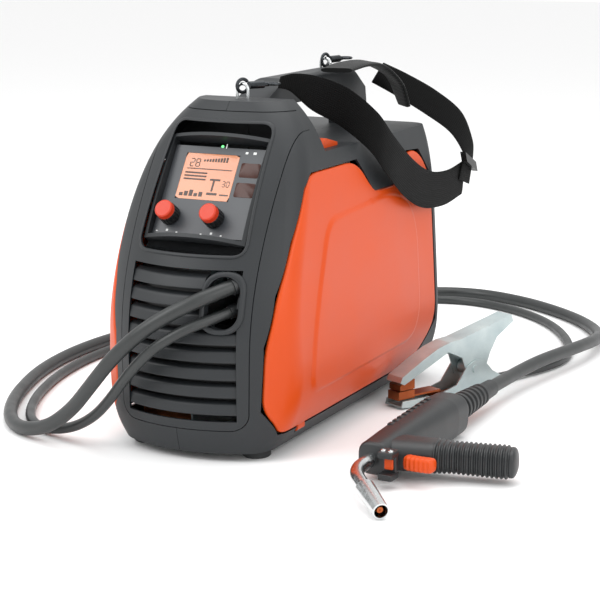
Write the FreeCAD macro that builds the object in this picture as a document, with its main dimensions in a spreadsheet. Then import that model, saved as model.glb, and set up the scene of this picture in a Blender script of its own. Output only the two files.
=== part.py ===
import FreeCAD, Part

import math
import os
import re

import Sketcher
from FreeCAD import Rotation, Vector

# Portable MIG welding machine with its torch, earth clamp and shoulder strap.
# Millimetres.  X = 0 is the machine's middle plane and the wire door is on +X, the front faces -Y,
# Z = 0 is the floor, and the origin lies under the middle of the machine's length.

doc = FreeCAD.newDocument("mig_welder")
sheet = doc.addObject("Spreadsheet::Sheet", "Sizes")

SIZES = {
    # casing
    "body_length": 450, "half_width": 111, "hood_top": 352, "shoulder_top": 300,
    "floor_gap": 9, "wall": 3, "bow_radius": 140, "corner_radius": 35, "rear_radius": 24,
    "belly_height": 95, "side_lean": 0.055, "crown_tuck": 45, "keel_tuck": 27,
    "slope_start": 120, "slope_rate": 0.0088, "hood_depth": 165, "seam_gap": 0.4,
    # front panel
    "panel_half": 73, "panel_low": 34, "panel_high": 343, "panel_corner": 18, "panel_gap": 0.8,
    "window_half": 60, "window_low": 208, "window_high": 333, "window_corner": 14,
    "recess_depth": 22, "recess_wall": 2, "fascia_half": 54, "fascia_thick": 4,
    "grille_half": 62, "grille_low": 44, "grille_high": 195.5, "slat_count": 8, "slat_thick": 3,
    "port_x": 47, "port_z": 164, "port_wide": 32, "port_tall": 52, "port_rim": 4,
    # controls
    "knob_dia": 21, "knob_tall": 20, "knob_x_left": -37, "knob_x_right": 14, "knob_up": 20,
    "lens_wide": 62, "lens_tall": 52, "lens_x": -8, "lens_up": 66, "spindle_bore": 6.4,
    "spindle_fit": 0.1,
    # side covers and door
    "door_gap": 1, "door_low": 28, "door_high": 284, "door_front": 27, "door_rear": 424,
    "door_back_edge": 42, "scoop_start": 262, "scoop_end": 352, "scoop_floor": 246,
    "hinge_dia": 2.5, "hinge_fit": 0.08, "hinge_front": 87, "hinge_rear": 345, "hinge_x": 95.5,
    "hinge_z": 26.5, "lug_long": 16, "lug_dia": 6.6, "boss_long": 7,
    "latch_long": 46, "latch_wide": 22, "latch_tall": 10, "latch_y": 196,
    # handle and strap fittings
    "handle_wide": 36, "handle_top": 368, "handle_thick": 28, "handle_front": 168,
    "handle_rear": 432, "eyelet_wire": 3.4, "eyelet_inner": 7, "eyelet_front": 150, "eyelet_rear": 352,
    "hook_wire": 3.6, "hook_bow": 6.8, "hook_yaw_front": 30, "hook_yaw_rear": 12, "strap_thick": 2.2,
    "pad_thick": 5, "slider_thick": 7,
    # feet, rear and inside
    "screw_dia": 4, "screw_long": 7, "foot_dia": 30, "foot_x": 64, "foot_front": 54,
    "foot_rear": 392, "tray_thick": 1.5,
    "inner_wall_x": -2, "inner_thick": 2, "rail_tall": 288,
    "spool_dia": 200, "spool_wide": 54, "spool_bore": 51, "hub_dia": 50.84, "spool_y": 300,
    "spool_z": 152, "wire_x": 47, "wire_z": 190, "feeder_x": 34, "feeder_thick": 4, "feeder_y": 128,
    "drive_dia": 36, "press_dia": 28, "roll_wide": 11, "roll_gap": 0.3, "axle_dia": 8, "axle_fit": 0.05,
    "stem_dia": 3.9,
    "fan_dia": 82, "fan_frame": 92, "fan_thick": 25, "fan_y": 392, "fan_x": -52, "fan_z": 170,
    "fan_hub": 30,
    # torch, lying on the floor
    "torch_x": 213, "torch_y": 213, "torch_z": 23.5, "torch_turn": -92.1, "barrel_long": 190,
    "neck_dia": 14, "nozzle_dia": 18, "nozzle_long": 46, "nozzle_wall": 1.6, "tip_dia": 6,
    "relief_long": 112, "relief_dia": 27, "relief_end": 20, "cable_dia": 15, "trigger_wide": 15,
    "trigger_fit": 0.5,
    # earth clamp, standing on its lower handle
    "clamp_x": 139, "clamp_y": 319, "clamp_turn": 66, "clamp_wide": 27, "clamp_plate": 1.6,
    "clamp_gap": 0.4, "pivot_dia": 6, "pivot_u": 70, "pivot_z": 29, "pivot_fit": 0.06,
    "earth_dia": 11, "contact_wide": 18,
}
for row, (name, value) in enumerate(SIZES.items(), 1):
    sheet.set(f"A{row}", name)
    sheet.set(f"B{row}", str(value))
    sheet.setAlias(f"B{row}", name)
doc.recompute()


class Sheet:
    """The sheet's numbers, read back for the shapes that are made in code."""

    def __getattr__(self, name):
        return float(sheet.get(name))


S = Sheet()
HALF = S.body_length / 2
NAMES = re.compile(r"\b(" + "|".join(sorted(SIZES, key=len, reverse=True)) + r")\b")
nodes = []


def link(text):
    """An expression in which each size's name points at its cell."""
    return NAMES.sub(r"Sizes.\1", str(text))


def place(item, at, turn=None):
    """Put an object at a place given as three expressions, after an optional fixed turn."""
    if turn:
        item.Placement = FreeCAD.Placement(Vector(), turn)
    for axis, text in zip("xyz", at):
        item.setExpression("Placement.Base." + axis, link(text))
    return item


def grow(kind, at, turn=None, **sizes):
    """Add a Part primitive whose sizes and place are bound to the sheet."""
    item = doc.addObject("Part::" + kind, kind)
    for key, text in sizes.items():
        item.setExpression(key, link(text))
    return place(item, at, turn)


def block(at, size):
    """A box between a low corner and a size, all bound."""
    return grow("Box", at, None, Length=size[0], Width=size[1], Height=size[2])


def rod(at, radius, length, turn=None):
    """A cylinder from a point along +Z, or along the turned Z."""
    return grow("Cylinder", at, turn, Radius=radius, Height=length)


ALONG_X = Rotation(Vector(0, 1, 0), 90)
ALONG_Y = Rotation(Vector(1, 0, 0), -90)


def keep(item, name):
    """Name a finished sub-part; its label is its file's name."""
    item.Label = name
    nodes.append(item)
    return item


def fuse(name, *items):
    item = doc.addObject("Part::MultiFuse", "Fuse")
    item.Shapes = list(items)
    return keep(item, name) if name else item


def cut(name, base, *tools):
    item = doc.addObject("Part::Cut", "Cut")
    item.Base = base
    item.Tool = tools[0] if len(tools) == 1 else fuse(None, *tools)
    return keep(item, name) if name else item


def group(name, *items):
    """Separate solids of one kind that share a file."""
    item = doc.addObject("Part::Compound", "Group")
    item.Links = list(items)
    return keep(item, name)


def shaped(name, shape, placement=None):
    """A sub-part whose shape is made in code from the sheet's numbers."""
    item = doc.addObject("Part::Feature", "Shape")
    item.Shape = shape
    if placement:
        item.Placement = placement
    return keep(item, name) if name else item


def sketch_on(body, role, corners):
    """A closed outline on an origin plane, every corner bound to the sheet."""
    sketch = body.newObject("Sketcher::SketchObject", "Outline")
    plane = [f for f in body.Origin.OriginFeatures if f.Role == role][0]
    sketch.AttachmentSupport = (plane, [""])
    sketch.MapMode = "FlatFace"
    count = len(corners)
    ring = [Vector(10 * math.cos(2 * math.pi * i / count), 10 * math.sin(2 * math.pi * i / count), 0)
            for i in range(count)]
    for i in range(count):
        sketch.addGeometry(Part.LineSegment(ring[i], ring[(i + 1) % count]), False)
    for i in range(count):
        sketch.addConstraint(Sketcher.Constraint("Coincident", i, 2, (i + 1) % count, 1))
    for i, corner in enumerate(corners):
        for kind, text in zip(("DistanceX", "DistanceY"), corner):
            number = sketch.addConstraint(Sketcher.Constraint(kind, -1, 1, i, 1, 1.0))
            sketch.setExpression(f"Constraints[{number}]", link(text))
    return sketch


def turned(name, profile, at, turn=None, keyed=True):
    """A turned piece: a profile of (radius, height) corners revolved about its own Z."""
    body = doc.addObject("PartDesign::Body", "Turned")
    sketch = sketch_on(body, "XZ_Plane", profile)
    spin = body.newObject("PartDesign::Revolution", "Revolution")
    spin.Profile = sketch
    spin.ReferenceAxis = (sketch, ["V_Axis"])
    spin.Angle = 360
    place(body, at, turn)
    return keep(body, name) if keyed else body


def plate(name, role, corners, thick, at, keyed=True):
    """A flat piece: an outline padded by its thickness."""
    body = doc.addObject("PartDesign::Body", "Plate")
    sketch = sketch_on(body, role, corners)
    pad = body.newObject("PartDesign::Pad", "Pad")
    pad.Profile = sketch
    pad.setExpression("Length", link(thick))
    place(body, at)
    return keep(body, name) if keyed else body


# ---------------------------------------------------------------- casing surface

def half_width(z):
    """Half the casing's width: a belly that leans in upwards and tucks in at the crown and keel."""
    if z < S.belly_height:
        share = (S.belly_height - z) / (S.belly_height - S.floor_gap)
        return S.half_width - S.keel_tuck * share ** 3
    rise = z - S.belly_height
    share = rise / (S.hood_top - S.belly_height)
    return S.half_width - S.side_lean * rise - S.crown_tuck * share ** 6


def front_depth(z):
    """How far the front face stands back from the foremost point at a height."""
    chin = 8 * (max(0, 60 - z) / 50) ** 2
    return chin + S.slope_rate * max(0, z - S.slope_start) ** 1.75


def slice_at(z, inset, height=None):
    """One level outline of the casing: bowed front, round corners, flat sides and rear."""
    height = z if height is None else height
    wide = half_width(z) - inset
    bow, corner, rear = S.bow_radius - inset, S.corner_radius - inset, S.rear_radius - inset
    middle = front_depth(z) + S.bow_radius
    back = S.body_length - inset
    reach = bow - corner
    side_y = middle - math.sqrt(reach ** 2 - (wide - corner) ** 2)
    touch = math.atan2(wide - corner, middle - side_y)

    def at(x, y):
        return Vector(x, y - HALF, height)

    def bow_point(angle):
        return at(bow * math.sin(angle), middle - bow * math.cos(angle))

    def corner_point(sign, angle):
        return at(sign * (wide - corner + corner * math.sin(angle)), side_y - corner * math.cos(angle))

    def rear_point(sign, angle):
        return at(sign * (wide - rear + rear * math.cos(angle)), back - rear + rear * math.sin(angle))

    turn = (touch + math.pi / 2) / 2
    edges = [Part.Arc(bow_point(-touch), bow_point(0), bow_point(touch)).toShape(),
             Part.Arc(bow_point(touch), corner_point(1, turn), corner_point(1, math.pi / 2)).toShape(),
             Part.makeLine(corner_point(1, math.pi / 2), rear_point(1, 0)),
             Part.Arc(rear_point(1, 0), rear_point(1, math.pi / 4), rear_point(1, math.pi / 2)).toShape(),
             Part.makeLine(rear_point(1, math.pi / 2), rear_point(-1, math.pi / 2)),
             Part.Arc(rear_point(-1, math.pi / 2), rear_point(-1, math.pi / 4), rear_point(-1, 0)).toShape(),
             Part.makeLine(rear_point(-1, 0), corner_point(-1, math.pi / 2)),
             Part.Arc(corner_point(-1, math.pi / 2), corner_point(-1, turn), bow_point(-touch)).toShape()]
    return Part.Wire(edges)


def envelope(inset):
    """The casing's outer volume, taken in by an inset on every side."""
    low, high = S.floor_gap, S.hood_top
    shares = (0, 0.04, 0.1, 0.2, 0.32, 0.45, 0.58, 0.7, 0.8, 0.88, 0.94, 0.98, 1)
    levels = [low + (high - low) * share for share in shares]
    wires = []
    for z in levels:
        wires.append(slice_at(z, inset, min(max(z, low + inset), high - inset)))
    return Part.makeLoft(wires, True, False)


def prism(points, axis, low, high):
    """A block with a polygon or mixed outline, carried along X or Y from low to high."""
    if axis == "X":
        flat = [Vector(low, y - HALF, z) for y, z in points]
        push = Vector(high - low, 0, 0)
    else:
        flat = [Vector(x, low - HALF, z) for x, z in points]
        push = Vector(0, high - low, 0)
    return Part.Face(Part.makePolygon(flat + flat[:1])).extrude(push)


def rounded(solid, radius, axis):
    """Round the edges of a prism that run along one axis."""
    pick = []
    for edge in solid.Edges:
        way = edge.tangentAt(edge.FirstParameter)
        if abs(getattr(way, axis)) > 0.99:
            pick.append(edge)
    return solid.makeFillet(radius, pick)


def crate(x0, x1, y0, y1, z0, z1):
    """A plain block from its limits, with depths counted from the front."""
    return Part.makeBox(x1 - x0, y1 - y0, z1 - z0, Vector(x0, y0 - HALF, z0))


BIG = 1000
outer = envelope(0)
inner = envelope(S.wall)
deep = envelope(S.wall + S.recess_wall + 1)
above = crate(-BIG, BIG, S.hood_depth, BIG, S.shoulder_top, BIG)
above_inside = crate(-BIG, BIG, S.hood_depth - S.wall, BIG, S.shoulder_top - S.wall, BIG)
skin = outer.cut(above).cut(inner.cut(above_inside))

# front panel region, seen from the front
p = S.panel_gap
panel_outline = [(-S.panel_half, S.panel_low), (S.panel_half, S.panel_low),
                 (S.panel_half + 4, S.panel_high), (-S.panel_half - 4, S.panel_high)]
panel_reach = S.hood_depth - 14
panel_region = rounded(prism(panel_outline, "Y", -20, panel_reach), S.panel_corner, "y")
inside_outline = [(x - math.copysign(p, x), z + (p if z < 100 else -p)) for x, z in panel_outline]
panel_inside = rounded(prism(inside_outline, "Y", -20, panel_reach), S.panel_corner - p, "y")
window = rounded(prism([(-S.window_half - 2, S.window_low), (S.window_half + 2, S.window_low),
                        (S.window_half - 3, S.window_high), (-S.window_half + 3, S.window_high)],
                       "Y", -20, panel_reach), S.window_corner, "y")

# side cover region, seen from the side
front_line = [(S.door_front + front_depth(z) + max(0, z - 100) * 0.1, z)
              for z in (S.door_low + 26, 120, 170, 220, S.door_high - 14)]
cover_outline = ([(S.door_back_edge, S.door_low)] + front_line
                 + [(front_line[-1][0] + 18, S.door_high), (S.scoop_start - 30, S.door_high),
                    (S.scoop_start, S.scoop_floor), (S.scoop_end - 14, S.scoop_floor),
                    (S.scoop_end + 12, S.door_high - 6), (S.door_rear - 24, S.door_high - 8),
                    (S.door_rear, S.door_high - 40), (S.door_rear, 72), (S.door_rear - 52, S.door_low)])


def cover_region(shrink):
    """The block that the side covers are cut from, taken in by a gap."""
    flat = Part.makePolygon([Vector(0, y - HALF, z) for y, z in cover_outline + cover_outline[:1]])
    if shrink:
        flat = flat.makeOffset2D(-shrink)
    face = Part.Face(flat)
    return face.extrude(Vector(BIG, 0, 0))


side_cut = cover_region(0)
side_piece = cover_region(S.door_gap)
rear_cut = crate(-70, 70, S.body_length - 8, S.body_length + 8, 40, 262)
rear_region = rounded(rear_cut, 10, "y")

shell = skin.cut(panel_region).cut(side_cut).cut(side_cut.mirror(Vector(), Vector(1, 0, 0)))
shell = shell.cut(rear_region)
latch_y0 = S.latch_y - S.latch_long / 2
latch_x = 66
latch_hole = crate(latch_x - S.latch_wide / 2 - 0.5, latch_x + S.latch_wide / 2 + 0.5, latch_y0 - 0.5,
                   latch_y0 + S.latch_long + 0.5, S.shoulder_top - S.wall - 1, S.shoulder_top + 1)
shell = shell.cut(latch_hole)
SCREW_DEPTHS = (S.handle_front + 12, S.handle_rear - 16)
SCREW_SINK = 5
screw_holes = [Part.makeCylinder(S.screw_dia / 2, S.screw_long,
                                 Vector(0, depth - HALF, S.shoulder_top - SCREW_SINK))
               for depth in SCREW_DEPTHS]
shell = shell.cut(screw_holes)

def eyelet(depth, top_z):
    """A staple of round wire standing across the casing's middle."""
    radius = (S.eyelet_inner + S.eyelet_wire) / 2 + 1
    centre = Vector(0, depth - HALF, top_z - radius - S.eyelet_wire / 2)
    arc = Part.Arc(centre + Vector(-radius, 0, 0), centre + Vector(0, 0, radius),
                   centre + Vector(radius, 0, 0)).toShape()
    leg = 11
    path = Part.Wire([Part.makeLine(centre + Vector(-radius, 0, -leg), centre + Vector(-radius, 0, 0)), arc,
                      Part.makeLine(centre + Vector(radius, 0, 0), centre + Vector(radius, 0, -leg))])
    ring = Part.Wire([Part.makeCircle(S.eyelet_wire / 2, centre + Vector(-radius, 0, -leg),
                                      Vector(0, 0, 1))])
    return path.makePipeShell([ring], True, False)


front_eye_top = S.hood_top + 17
rear_eye_top = S.handle_top + 13
front_eye = eyelet(S.eyelet_front, front_eye_top)
rear_eye = eyelet(S.eyelet_rear, rear_eye_top)
shell = shell.cut(front_eye)

for depth in (S.hinge_front, S.hinge_rear):
    reach = S.lug_long / 2 + S.boss_long
    boss = crate(S.hinge_x - 6, S.hinge_x + 6, depth - reach, depth + reach, S.hinge_z - 6, S.door_low)
    slot_half = S.lug_long / 2 + 1
    notch = crate(S.hinge_x - 8, S.hinge_x + 20, depth - slot_half, depth + slot_half,
                  S.hinge_z - 5, S.door_low + 6)
    pin_hole = Part.makeCylinder(S.hinge_dia / 2, 2 * reach + 2, Vector(
        S.hinge_x, depth - reach - 1 - HALF, S.hinge_z), Vector(0, 1, 0))
    shell = shell.fuse(boss.common(outer)).cut(notch).cut(pin_hole)
half = S.seam_gap / 2
shaped("housing_left", shell.common(crate(-BIG, -half, -BIG, BIG, 0, BIG)))
shaped("housing_right", shell.common(crate(half, BIG, -BIG, BIG, 0, BIG)))

# ---------------------------------------------------------------- front panel, grille, fascia
slope = math.atan(0.65)
fascia_low = (front_depth(S.window_low + 14) + S.recess_depth, S.window_low + 14)
fascia_frame = FreeCAD.Placement(Vector(0, fascia_low[0] - HALF, fascia_low[1]),
                                 Rotation(Vector(1, 0, 0), 90 - math.degrees(slope)))
panel_skin = skin.common(panel_inside).cut(window)


def stadium(radius):
    """The block through the front that has the port's upright outline with a given end radius."""
    low = Vector(S.port_x, -30 - HALF, S.port_z - (S.port_tall - S.port_wide) / 2)
    high = Vector(S.port_x, -30 - HALF, S.port_z + (S.port_tall - S.port_wide) / 2)
    solid = Part.makeBox(2 * radius, 100, high.z - low.z, low - Vector(radius, 0, 0))
    return solid.fuse([Part.makeCylinder(radius, 100, end, Vector(0, 1, 0)) for end in (low, high)])


port = stadium(S.port_wide / 2)
rim = stadium(S.port_wide / 2 + S.port_rim)
rim_outer = envelope(-2).common(rim).cut(deep)


def swath(points, radius):
    """The room a round bar takes along a bent line."""
    spots = [Vector(x, y - HALF, z) for x, y, z in points]
    parts = [Part.makeSphere(radius, spot) for spot in spots[1:-1]] or [Part.makeSphere(radius, spots[0])]
    for one, two in zip(spots, spots[1:]):
        parts.append(Part.makeCylinder(radius, (two - one).Length, one, two - one))
    return parts[0].fuse(parts[1:])


# each cable leaves its collar inside the port, bent to the left
TORCH_LEAD = [(51, 27, 179), (40, 12, 174), (18, -8, 163.5), (-17, -23, 142)]
EARTH_LEAD = [(49, 25, 153), (39, 9, 149), (18, -12, 140), (-11, -23, 121)]
BRACKET_FRONT = S.feeder_y - 50


def collar_line(lead):
    """A cable collar's middle line, from the cable's start to the bracket behind it."""
    start, ahead = Vector(*lead[0]), Vector(*lead[1])
    bend = start + (start - ahead).normalize() * 10
    return [tuple(start), tuple(bend), (bend.x, BRACKET_FRONT, bend.z)]


cable_room = swath(collar_line(TORCH_LEAD)[:2] + TORCH_LEAD[1:3], 9.6).fuse([
    swath(collar_line(EARTH_LEAD)[:2] + EARTH_LEAD[1:3], 7.6),
    swath(collar_line(TORCH_LEAD)[1:], 9.5), swath(collar_line(EARTH_LEAD)[1:], 7.5)])
grille_region = crate(-S.grille_half, S.grille_half, -20, 60, S.grille_low, S.grille_high)
panel = panel_skin.cut(grille_region).fuse(rim_outer).cut(port).cut(cable_room)
# recess walls reach back from the window's edge to the fascia
frame_outer = Part.makeBox(2 * S.fascia_half + 8, 118, 46, Vector(-S.fascia_half - 4, -8, -6))
frame_inner = Part.makeBox(2 * S.fascia_half, 110, 80, Vector(-S.fascia_half, -4, -20))
frame_outer.Placement = fascia_frame
frame_inner.Placement = fascia_frame
frame = frame_outer.cut(frame_inner).common(outer.cut(envelope(-1).cut(inner)))
panel = panel.fuse(frame)
shaped("front_panel", max(panel.Solids, key=lambda solid: solid.Volume))

pitch = (S.grille_high - S.grille_low) / S.slat_count
slat_shapes = []
for number in range(int(S.slat_count)):
    top = S.grille_high - number * pitch
    lath = Part.makeBox(2 * S.grille_half - 1, 60, S.slat_thick,
                        Vector(-S.grille_half + 0.5, -20 - HALF, top - pitch + 1))
    slat_shapes.append(lath.common(outer).cut(envelope(S.wall + 9)).cut(rim))
edge_bars = []
for x in (-S.grille_half - 5, S.grille_half - 1):
    bar = crate(x, x + 6, -20, 60, S.grille_low - 2, S.grille_high + 2)
    edge_bars.append(bar.common(inner).cut(envelope(S.wall + 9)).cut(rim))
grille = edge_bars[0].fuse(slat_shapes + [edge_bars[1]]).cut(cable_room)
shaped("grille_slats", grille)

fascia = Part.makeBox(2 * S.fascia_half - 1, 100, S.fascia_thick,
                      Vector(-S.fascia_half + 0.5, 0, -S.fascia_thick))
for x in (S.knob_x_left, S.knob_x_right):
    fascia = fascia.cut(Part.makeCylinder(S.spindle_bore / 2, 3 * S.fascia_thick,
                                          Vector(x, S.knob_up, -2 * S.fascia_thick)))
lens_box = Part.makeBox(S.lens_wide, S.lens_tall, 2, Vector(S.lens_x - S.lens_wide / 2,
                                                            S.lens_up - S.lens_tall / 2, -1.5))
fascia = fascia.cut(lens_box)
shaped("control_fascia", fascia, fascia_frame)
lens = Part.makeBox(S.lens_wide - 0.4, S.lens_tall - 0.4, 1.5, Vector(
    S.lens_x - S.lens_wide / 2 + 0.2, S.lens_up - S.lens_tall / 2 + 0.2, -1.5))
shaped("display_lens", lens, fascia_frame)


def knob(name, x):
    """A tall round knob with a shallow skirt and the spindle that runs in the fascia."""
    shaft = S.spindle_bore / 2 - S.spindle_fit
    body = Part.makeCylinder(S.knob_dia / 2, S.knob_tall - 0.4, Vector(x, S.knob_up, 0.4))
    body = body.makeFillet(1.2, [body.Edges[0]])
    stem = Part.makeCylinder(shaft, S.fascia_thick + 8, Vector(x, S.knob_up, -S.fascia_thick - 6))
    shaped(name, body.fuse(stem), fascia_frame)


knob("knob_left", S.knob_x_left)
knob("knob_right", S.knob_x_right)

# ---------------------------------------------------------------- side covers, door, hinge, latch
cover_skin = outer.cut(above).cut(inner)
door = cover_skin.common(side_piece)
cover_left = door.mirror(Vector(), Vector(1, 0, 0))
shaped("side_cover_left", cover_left)

lugs = []
for depth in (S.hinge_front, S.hinge_rear):
    start = Vector(S.hinge_x, depth - S.lug_long / 2 - HALF, S.hinge_z)
    lug = Part.makeCylinder(S.lug_dia / 2, S.lug_long, start, Vector(0, 1, 0))
    arm = Part.makeBox(4, S.lug_long, 12, start + Vector(-1.2, 0, 0))
    lugs.append(lug.fuse(arm.common(outer)))
door = door.fuse(lugs)
pins = []
for depth in (S.hinge_front, S.hinge_rear):
    hole = Part.makeCylinder(S.hinge_dia / 2 + S.hinge_fit, S.lug_long + 2,
                             Vector(S.hinge_x, depth - S.lug_long / 2 - 1 - HALF, S.hinge_z),
                             Vector(0, 1, 0))
    door = door.cut(hole)
strike = crate(74, half_width(S.door_high - 12) - 1, latch_y0 + 8, latch_y0 + 20,
               S.door_high - 14, S.door_high - 10)
door = door.fuse(strike)
shaped("side_door", door)

for depth in (S.hinge_front, S.hinge_rear):
    pins.append(rod(("hinge_x", f"{depth} - lug_long/2 - boss_long - body_length/2", "hinge_z"),
                    "hinge_dia/2", "lug_long + 2*boss_long", ALONG_Y))
group("hinge_pins", *pins)

latch = crate(latch_x - S.latch_wide / 2, latch_x + S.latch_wide / 2, latch_y0, latch_y0 + S.latch_long,
              S.shoulder_top - S.wall - 6, S.shoulder_top + S.latch_tall)
latch_crest = latch_y0 + S.latch_long * 0.38
latch_clear = S.shoulder_top + 40
ramp = prism([(latch_y0 - 1, S.shoulder_top + 1), (latch_crest, S.shoulder_top + S.latch_tall),
              (latch_crest, latch_clear), (latch_y0 - 1, latch_clear)], "X", 0, BIG)
fall = prism([(latch_y0 + S.latch_long + 1, S.shoulder_top + 3),
              (latch_crest, S.shoulder_top + S.latch_tall), (latch_crest, latch_clear),
              (latch_y0 + S.latch_long + 1, latch_clear)], "X", 0, BIG)
shaped("door_latch", latch.cut(ramp).cut(fall))

# ---------------------------------------------------------------- handle
top, thick = S.handle_top, S.handle_thick
arch = [(S.handle_front, S.shoulder_top), (S.handle_front, S.hood_top - 4), (S.handle_front + 46, top),
        (S.handle_rear - 46, top), (S.handle_rear - 8, top - 26), (S.handle_rear, S.shoulder_top)]
hole = [(S.handle_front + 26, S.shoulder_top - 1), (S.handle_front + 30, S.shoulder_top + 22),
        (S.handle_front + 48, top - thick), (S.handle_rear - 58, top - thick),
        (S.handle_rear - 38, S.shoulder_top + 22), (S.handle_rear - 32, S.shoulder_top - 1)]
handle = prism(arch, "X", -S.handle_wide / 2, S.handle_wide / 2)
soft = [edge for edge in handle.Edges
        if edge.BoundBox.ZMax > top - 1 and edge.BoundBox.XLength < 1 and edge.Length > 60]
handle = handle.makeFillet(9, soft).cut([prism(hole, "X", -BIG, BIG), rear_eye] + screw_holes)
shaped("handle", handle)

# ---------------------------------------------------------------- feet, rear panel and inlets
feet = []
for x in ("foot_x", "-foot_x"):
    for depth in ("foot_front", "foot_rear"):
        feet.append(turned("foot", [("0", "0"), ("foot_dia/2 - 1.5", "0"), ("foot_dia/2", "1.5"),
                                    ("foot_dia/2 - 1", "floor_gap"), ("0", "floor_gap")],
                           (x, depth + " - body_length/2", "0"), None, False))
group("feet", *feet)
rear_plate = skin.common(rounded(crate(-69.5, 69.5, S.body_length - 8, S.body_length + 8, 40.5, 261.5),
                                 9.5, "y"))
gland_at = Vector(-38, S.body_length - 12 - HALF, 78)
gas_at = Vector(38, S.body_length - 12 - HALF, 78)
switch_box = crate(-52, -24, S.body_length - 12, S.body_length + 4, 196, 236)
rear_plate = rear_plate.cut(Part.makeCylinder(10, 30, gland_at, Vector(0, 1, 0)))
rear_plate = rear_plate.cut(Part.makeCylinder(7, 30, gas_at, Vector(0, 1, 0))).cut(switch_box)
for row in range(9):
    vent = crate(-6, 58, S.body_length - 12, S.body_length + 4, 112 + row * 15, 119 + row * 15)
    rear_plate = rear_plate.cut(vent)
shaped("rear_panel", rear_plate)
turned("mains_gland", [("5", "0"), ("10", "0"), ("10", "13"), ("14", "13"), ("14", "17"), ("10.5", "18"),
                       ("9", "30"), ("5", "30")], ("-38", "body_length/2 - 12", "78"), ALONG_Y)
turned("gas_inlet", [("2.5", "0"), ("7", "0"), ("7", "13"), ("9", "13"), ("9", "18"), ("4", "18"),
                     ("4", "30"), ("2.5", "30")], ("38", "body_length/2 - 12", "78"), ALONG_Y)
switch_frame = crate(-51.9, -24.1, S.body_length - 12, S.body_length, 196.1, 235.9).fuse(
    crate(-54, -22, S.body_length, S.body_length + 2, 193, 239))
switch_frame = switch_frame.cut(crate(-48, -28, S.body_length - 10, S.body_length + 4, 200, 232))
shaped("switch_frame", switch_frame)
rocker = prism([(S.body_length - 3, 201), (S.body_length + 5, 201), (S.body_length + 1, 216),
                (S.body_length + 1, 231), (S.body_length - 3, 231)], "X", -47.5, -28.5)
rocker = rocker.fuse(prism([(S.body_length - 7, 213), (S.body_length - 3, 213), (S.body_length - 3, 219),
                            (S.body_length - 7, 219)], "X", -47.5, -28.5))
shaped("power_switch", rocker)

# ---------------------------------------------------------------- strap eyelets and snap hooks


def loop(radius, wire, at, normal, start=0, sweep=360):
    """A bent wire ring or hook."""
    ring = Part.makeTorus(radius, wire / 2, Vector(), Vector(0, 0, 1), 0, 360, sweep)
    turn = Rotation(Vector(0, 0, 1), normal).multiply(Rotation(Vector(0, 0, 1), start))
    ring.Placement = FreeCAD.Placement(at, turn)
    return ring


group("strap_eyelets", shaped(None, front_eye), shaped(None, rear_eye))


def snap_hook():
    """A cast snap hook at its own origin: an open bow, a slotted barrel and a swivel eye for the strap."""
    hook = loop(S.hook_bow, S.hook_wire, Vector(), Vector(1, 0, 0), 125, 290)
    shank = Part.makeCylinder(4, 18, Vector(0, S.hook_bow + 0.8, 0), Vector(0, 1, 0))
    neck = Part.makeCylinder(2.4, 8, Vector(0, S.hook_bow + 17, 0), Vector(0, 1, 0))
    eye = loop(7, 3, Vector(0, S.hook_bow + 31, 0), Vector(0, 0, 1))
    slot = Part.makeBox(3.4, 13.6, 6, Vector(-5.7, S.hook_bow + 2.4, -3))
    return hook.fuse([shank.cut(slot), neck, eye])


def hook_bolt():
    """The hook's spring bolt with its thumb stud, in the barrel's slot."""
    bolt = Part.makeBox(2.6, 8, 3, Vector(-5.3, S.hook_bow + 3, -1.5))
    return bolt.fuse(Part.makeBox(3, 4, 5, Vector(-8.3, S.hook_bow + 5, -2.5)))


def hook_frame(depth, level, yaw):
    """A hook's place: its bow hangs in the eyelet and its barrel points back and to one side."""
    return FreeCAD.Placement(Vector(0, depth - HALF, level), Rotation(Vector(0, 0, 1), -yaw))


bow_drop = 3.7
front_frame = hook_frame(S.eyelet_front, front_eye_top - bow_drop, S.hook_yaw_front)
rear_frame = hook_frame(S.eyelet_rear, rear_eye_top - bow_drop, S.hook_yaw_rear)
group("snap_hooks", shaped(None, snap_hook(), front_frame), shaped(None, snap_hook(), rear_frame))
shaped("hook_bolt_front", hook_bolt(), front_frame)
shaped("hook_bolt_rear", hook_bolt(), rear_frame)

# ---------------------------------------------------------------- inside: tray, wall, boards, cooling
tray_z = S.floor_gap + S.wall
block_tray = block(("-72", "40 - body_length/2", f"{tray_z}"), ("144", "body_length - 60", "tray_thick"))
keep(block_tray, "base_tray")
wall_low = tray_z + S.tray_thick
plate("inner_wall", "YZ_Plane", [("36", f"{wall_low}"), ("36", "205"), ("122", "212"), ("122", "rail_tall"),
                                ("body_length - 30", "rail_tall"), ("body_length - 30", f"{wall_low}")],
      "inner_thick", ("inner_wall_x", "-body_length/2", "0"))
keep(block(("-70", "104 - body_length/2", "200"), ("60", "1.6", "86")), "control_board")
sink_base = block(("-80", "158 - body_length/2", f"{wall_low}"), ("6", "130", "96"))
fins = [block(("-74", f"{160 + 14 * i} - body_length/2", f"{wall_low}"), ("34", "3", "96"))
        for i in range(9)]
fuse("heatsink", sink_base, *fins)
core = cut(None, block(("-82", "76 - body_length/2", f"{wall_low}"), ("74", "60", "70")),
           block(("-70", "66 - body_length/2", f"{wall_low + 16}"), ("13", "80", "38")),
           block(("-33", "66 - body_length/2", f"{wall_low + 16}"), ("13", "80", "38")))
coil = cut(None, block(("-69.8", "68 - body_length/2", f"{wall_low + 16.2}"), ("49.6", "76", "37.6")),
           block(("-57", "60 - body_length/2", f"{wall_low + 16}"), ("24", "92", "38")))
fuse("transformer", core, coil)

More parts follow.
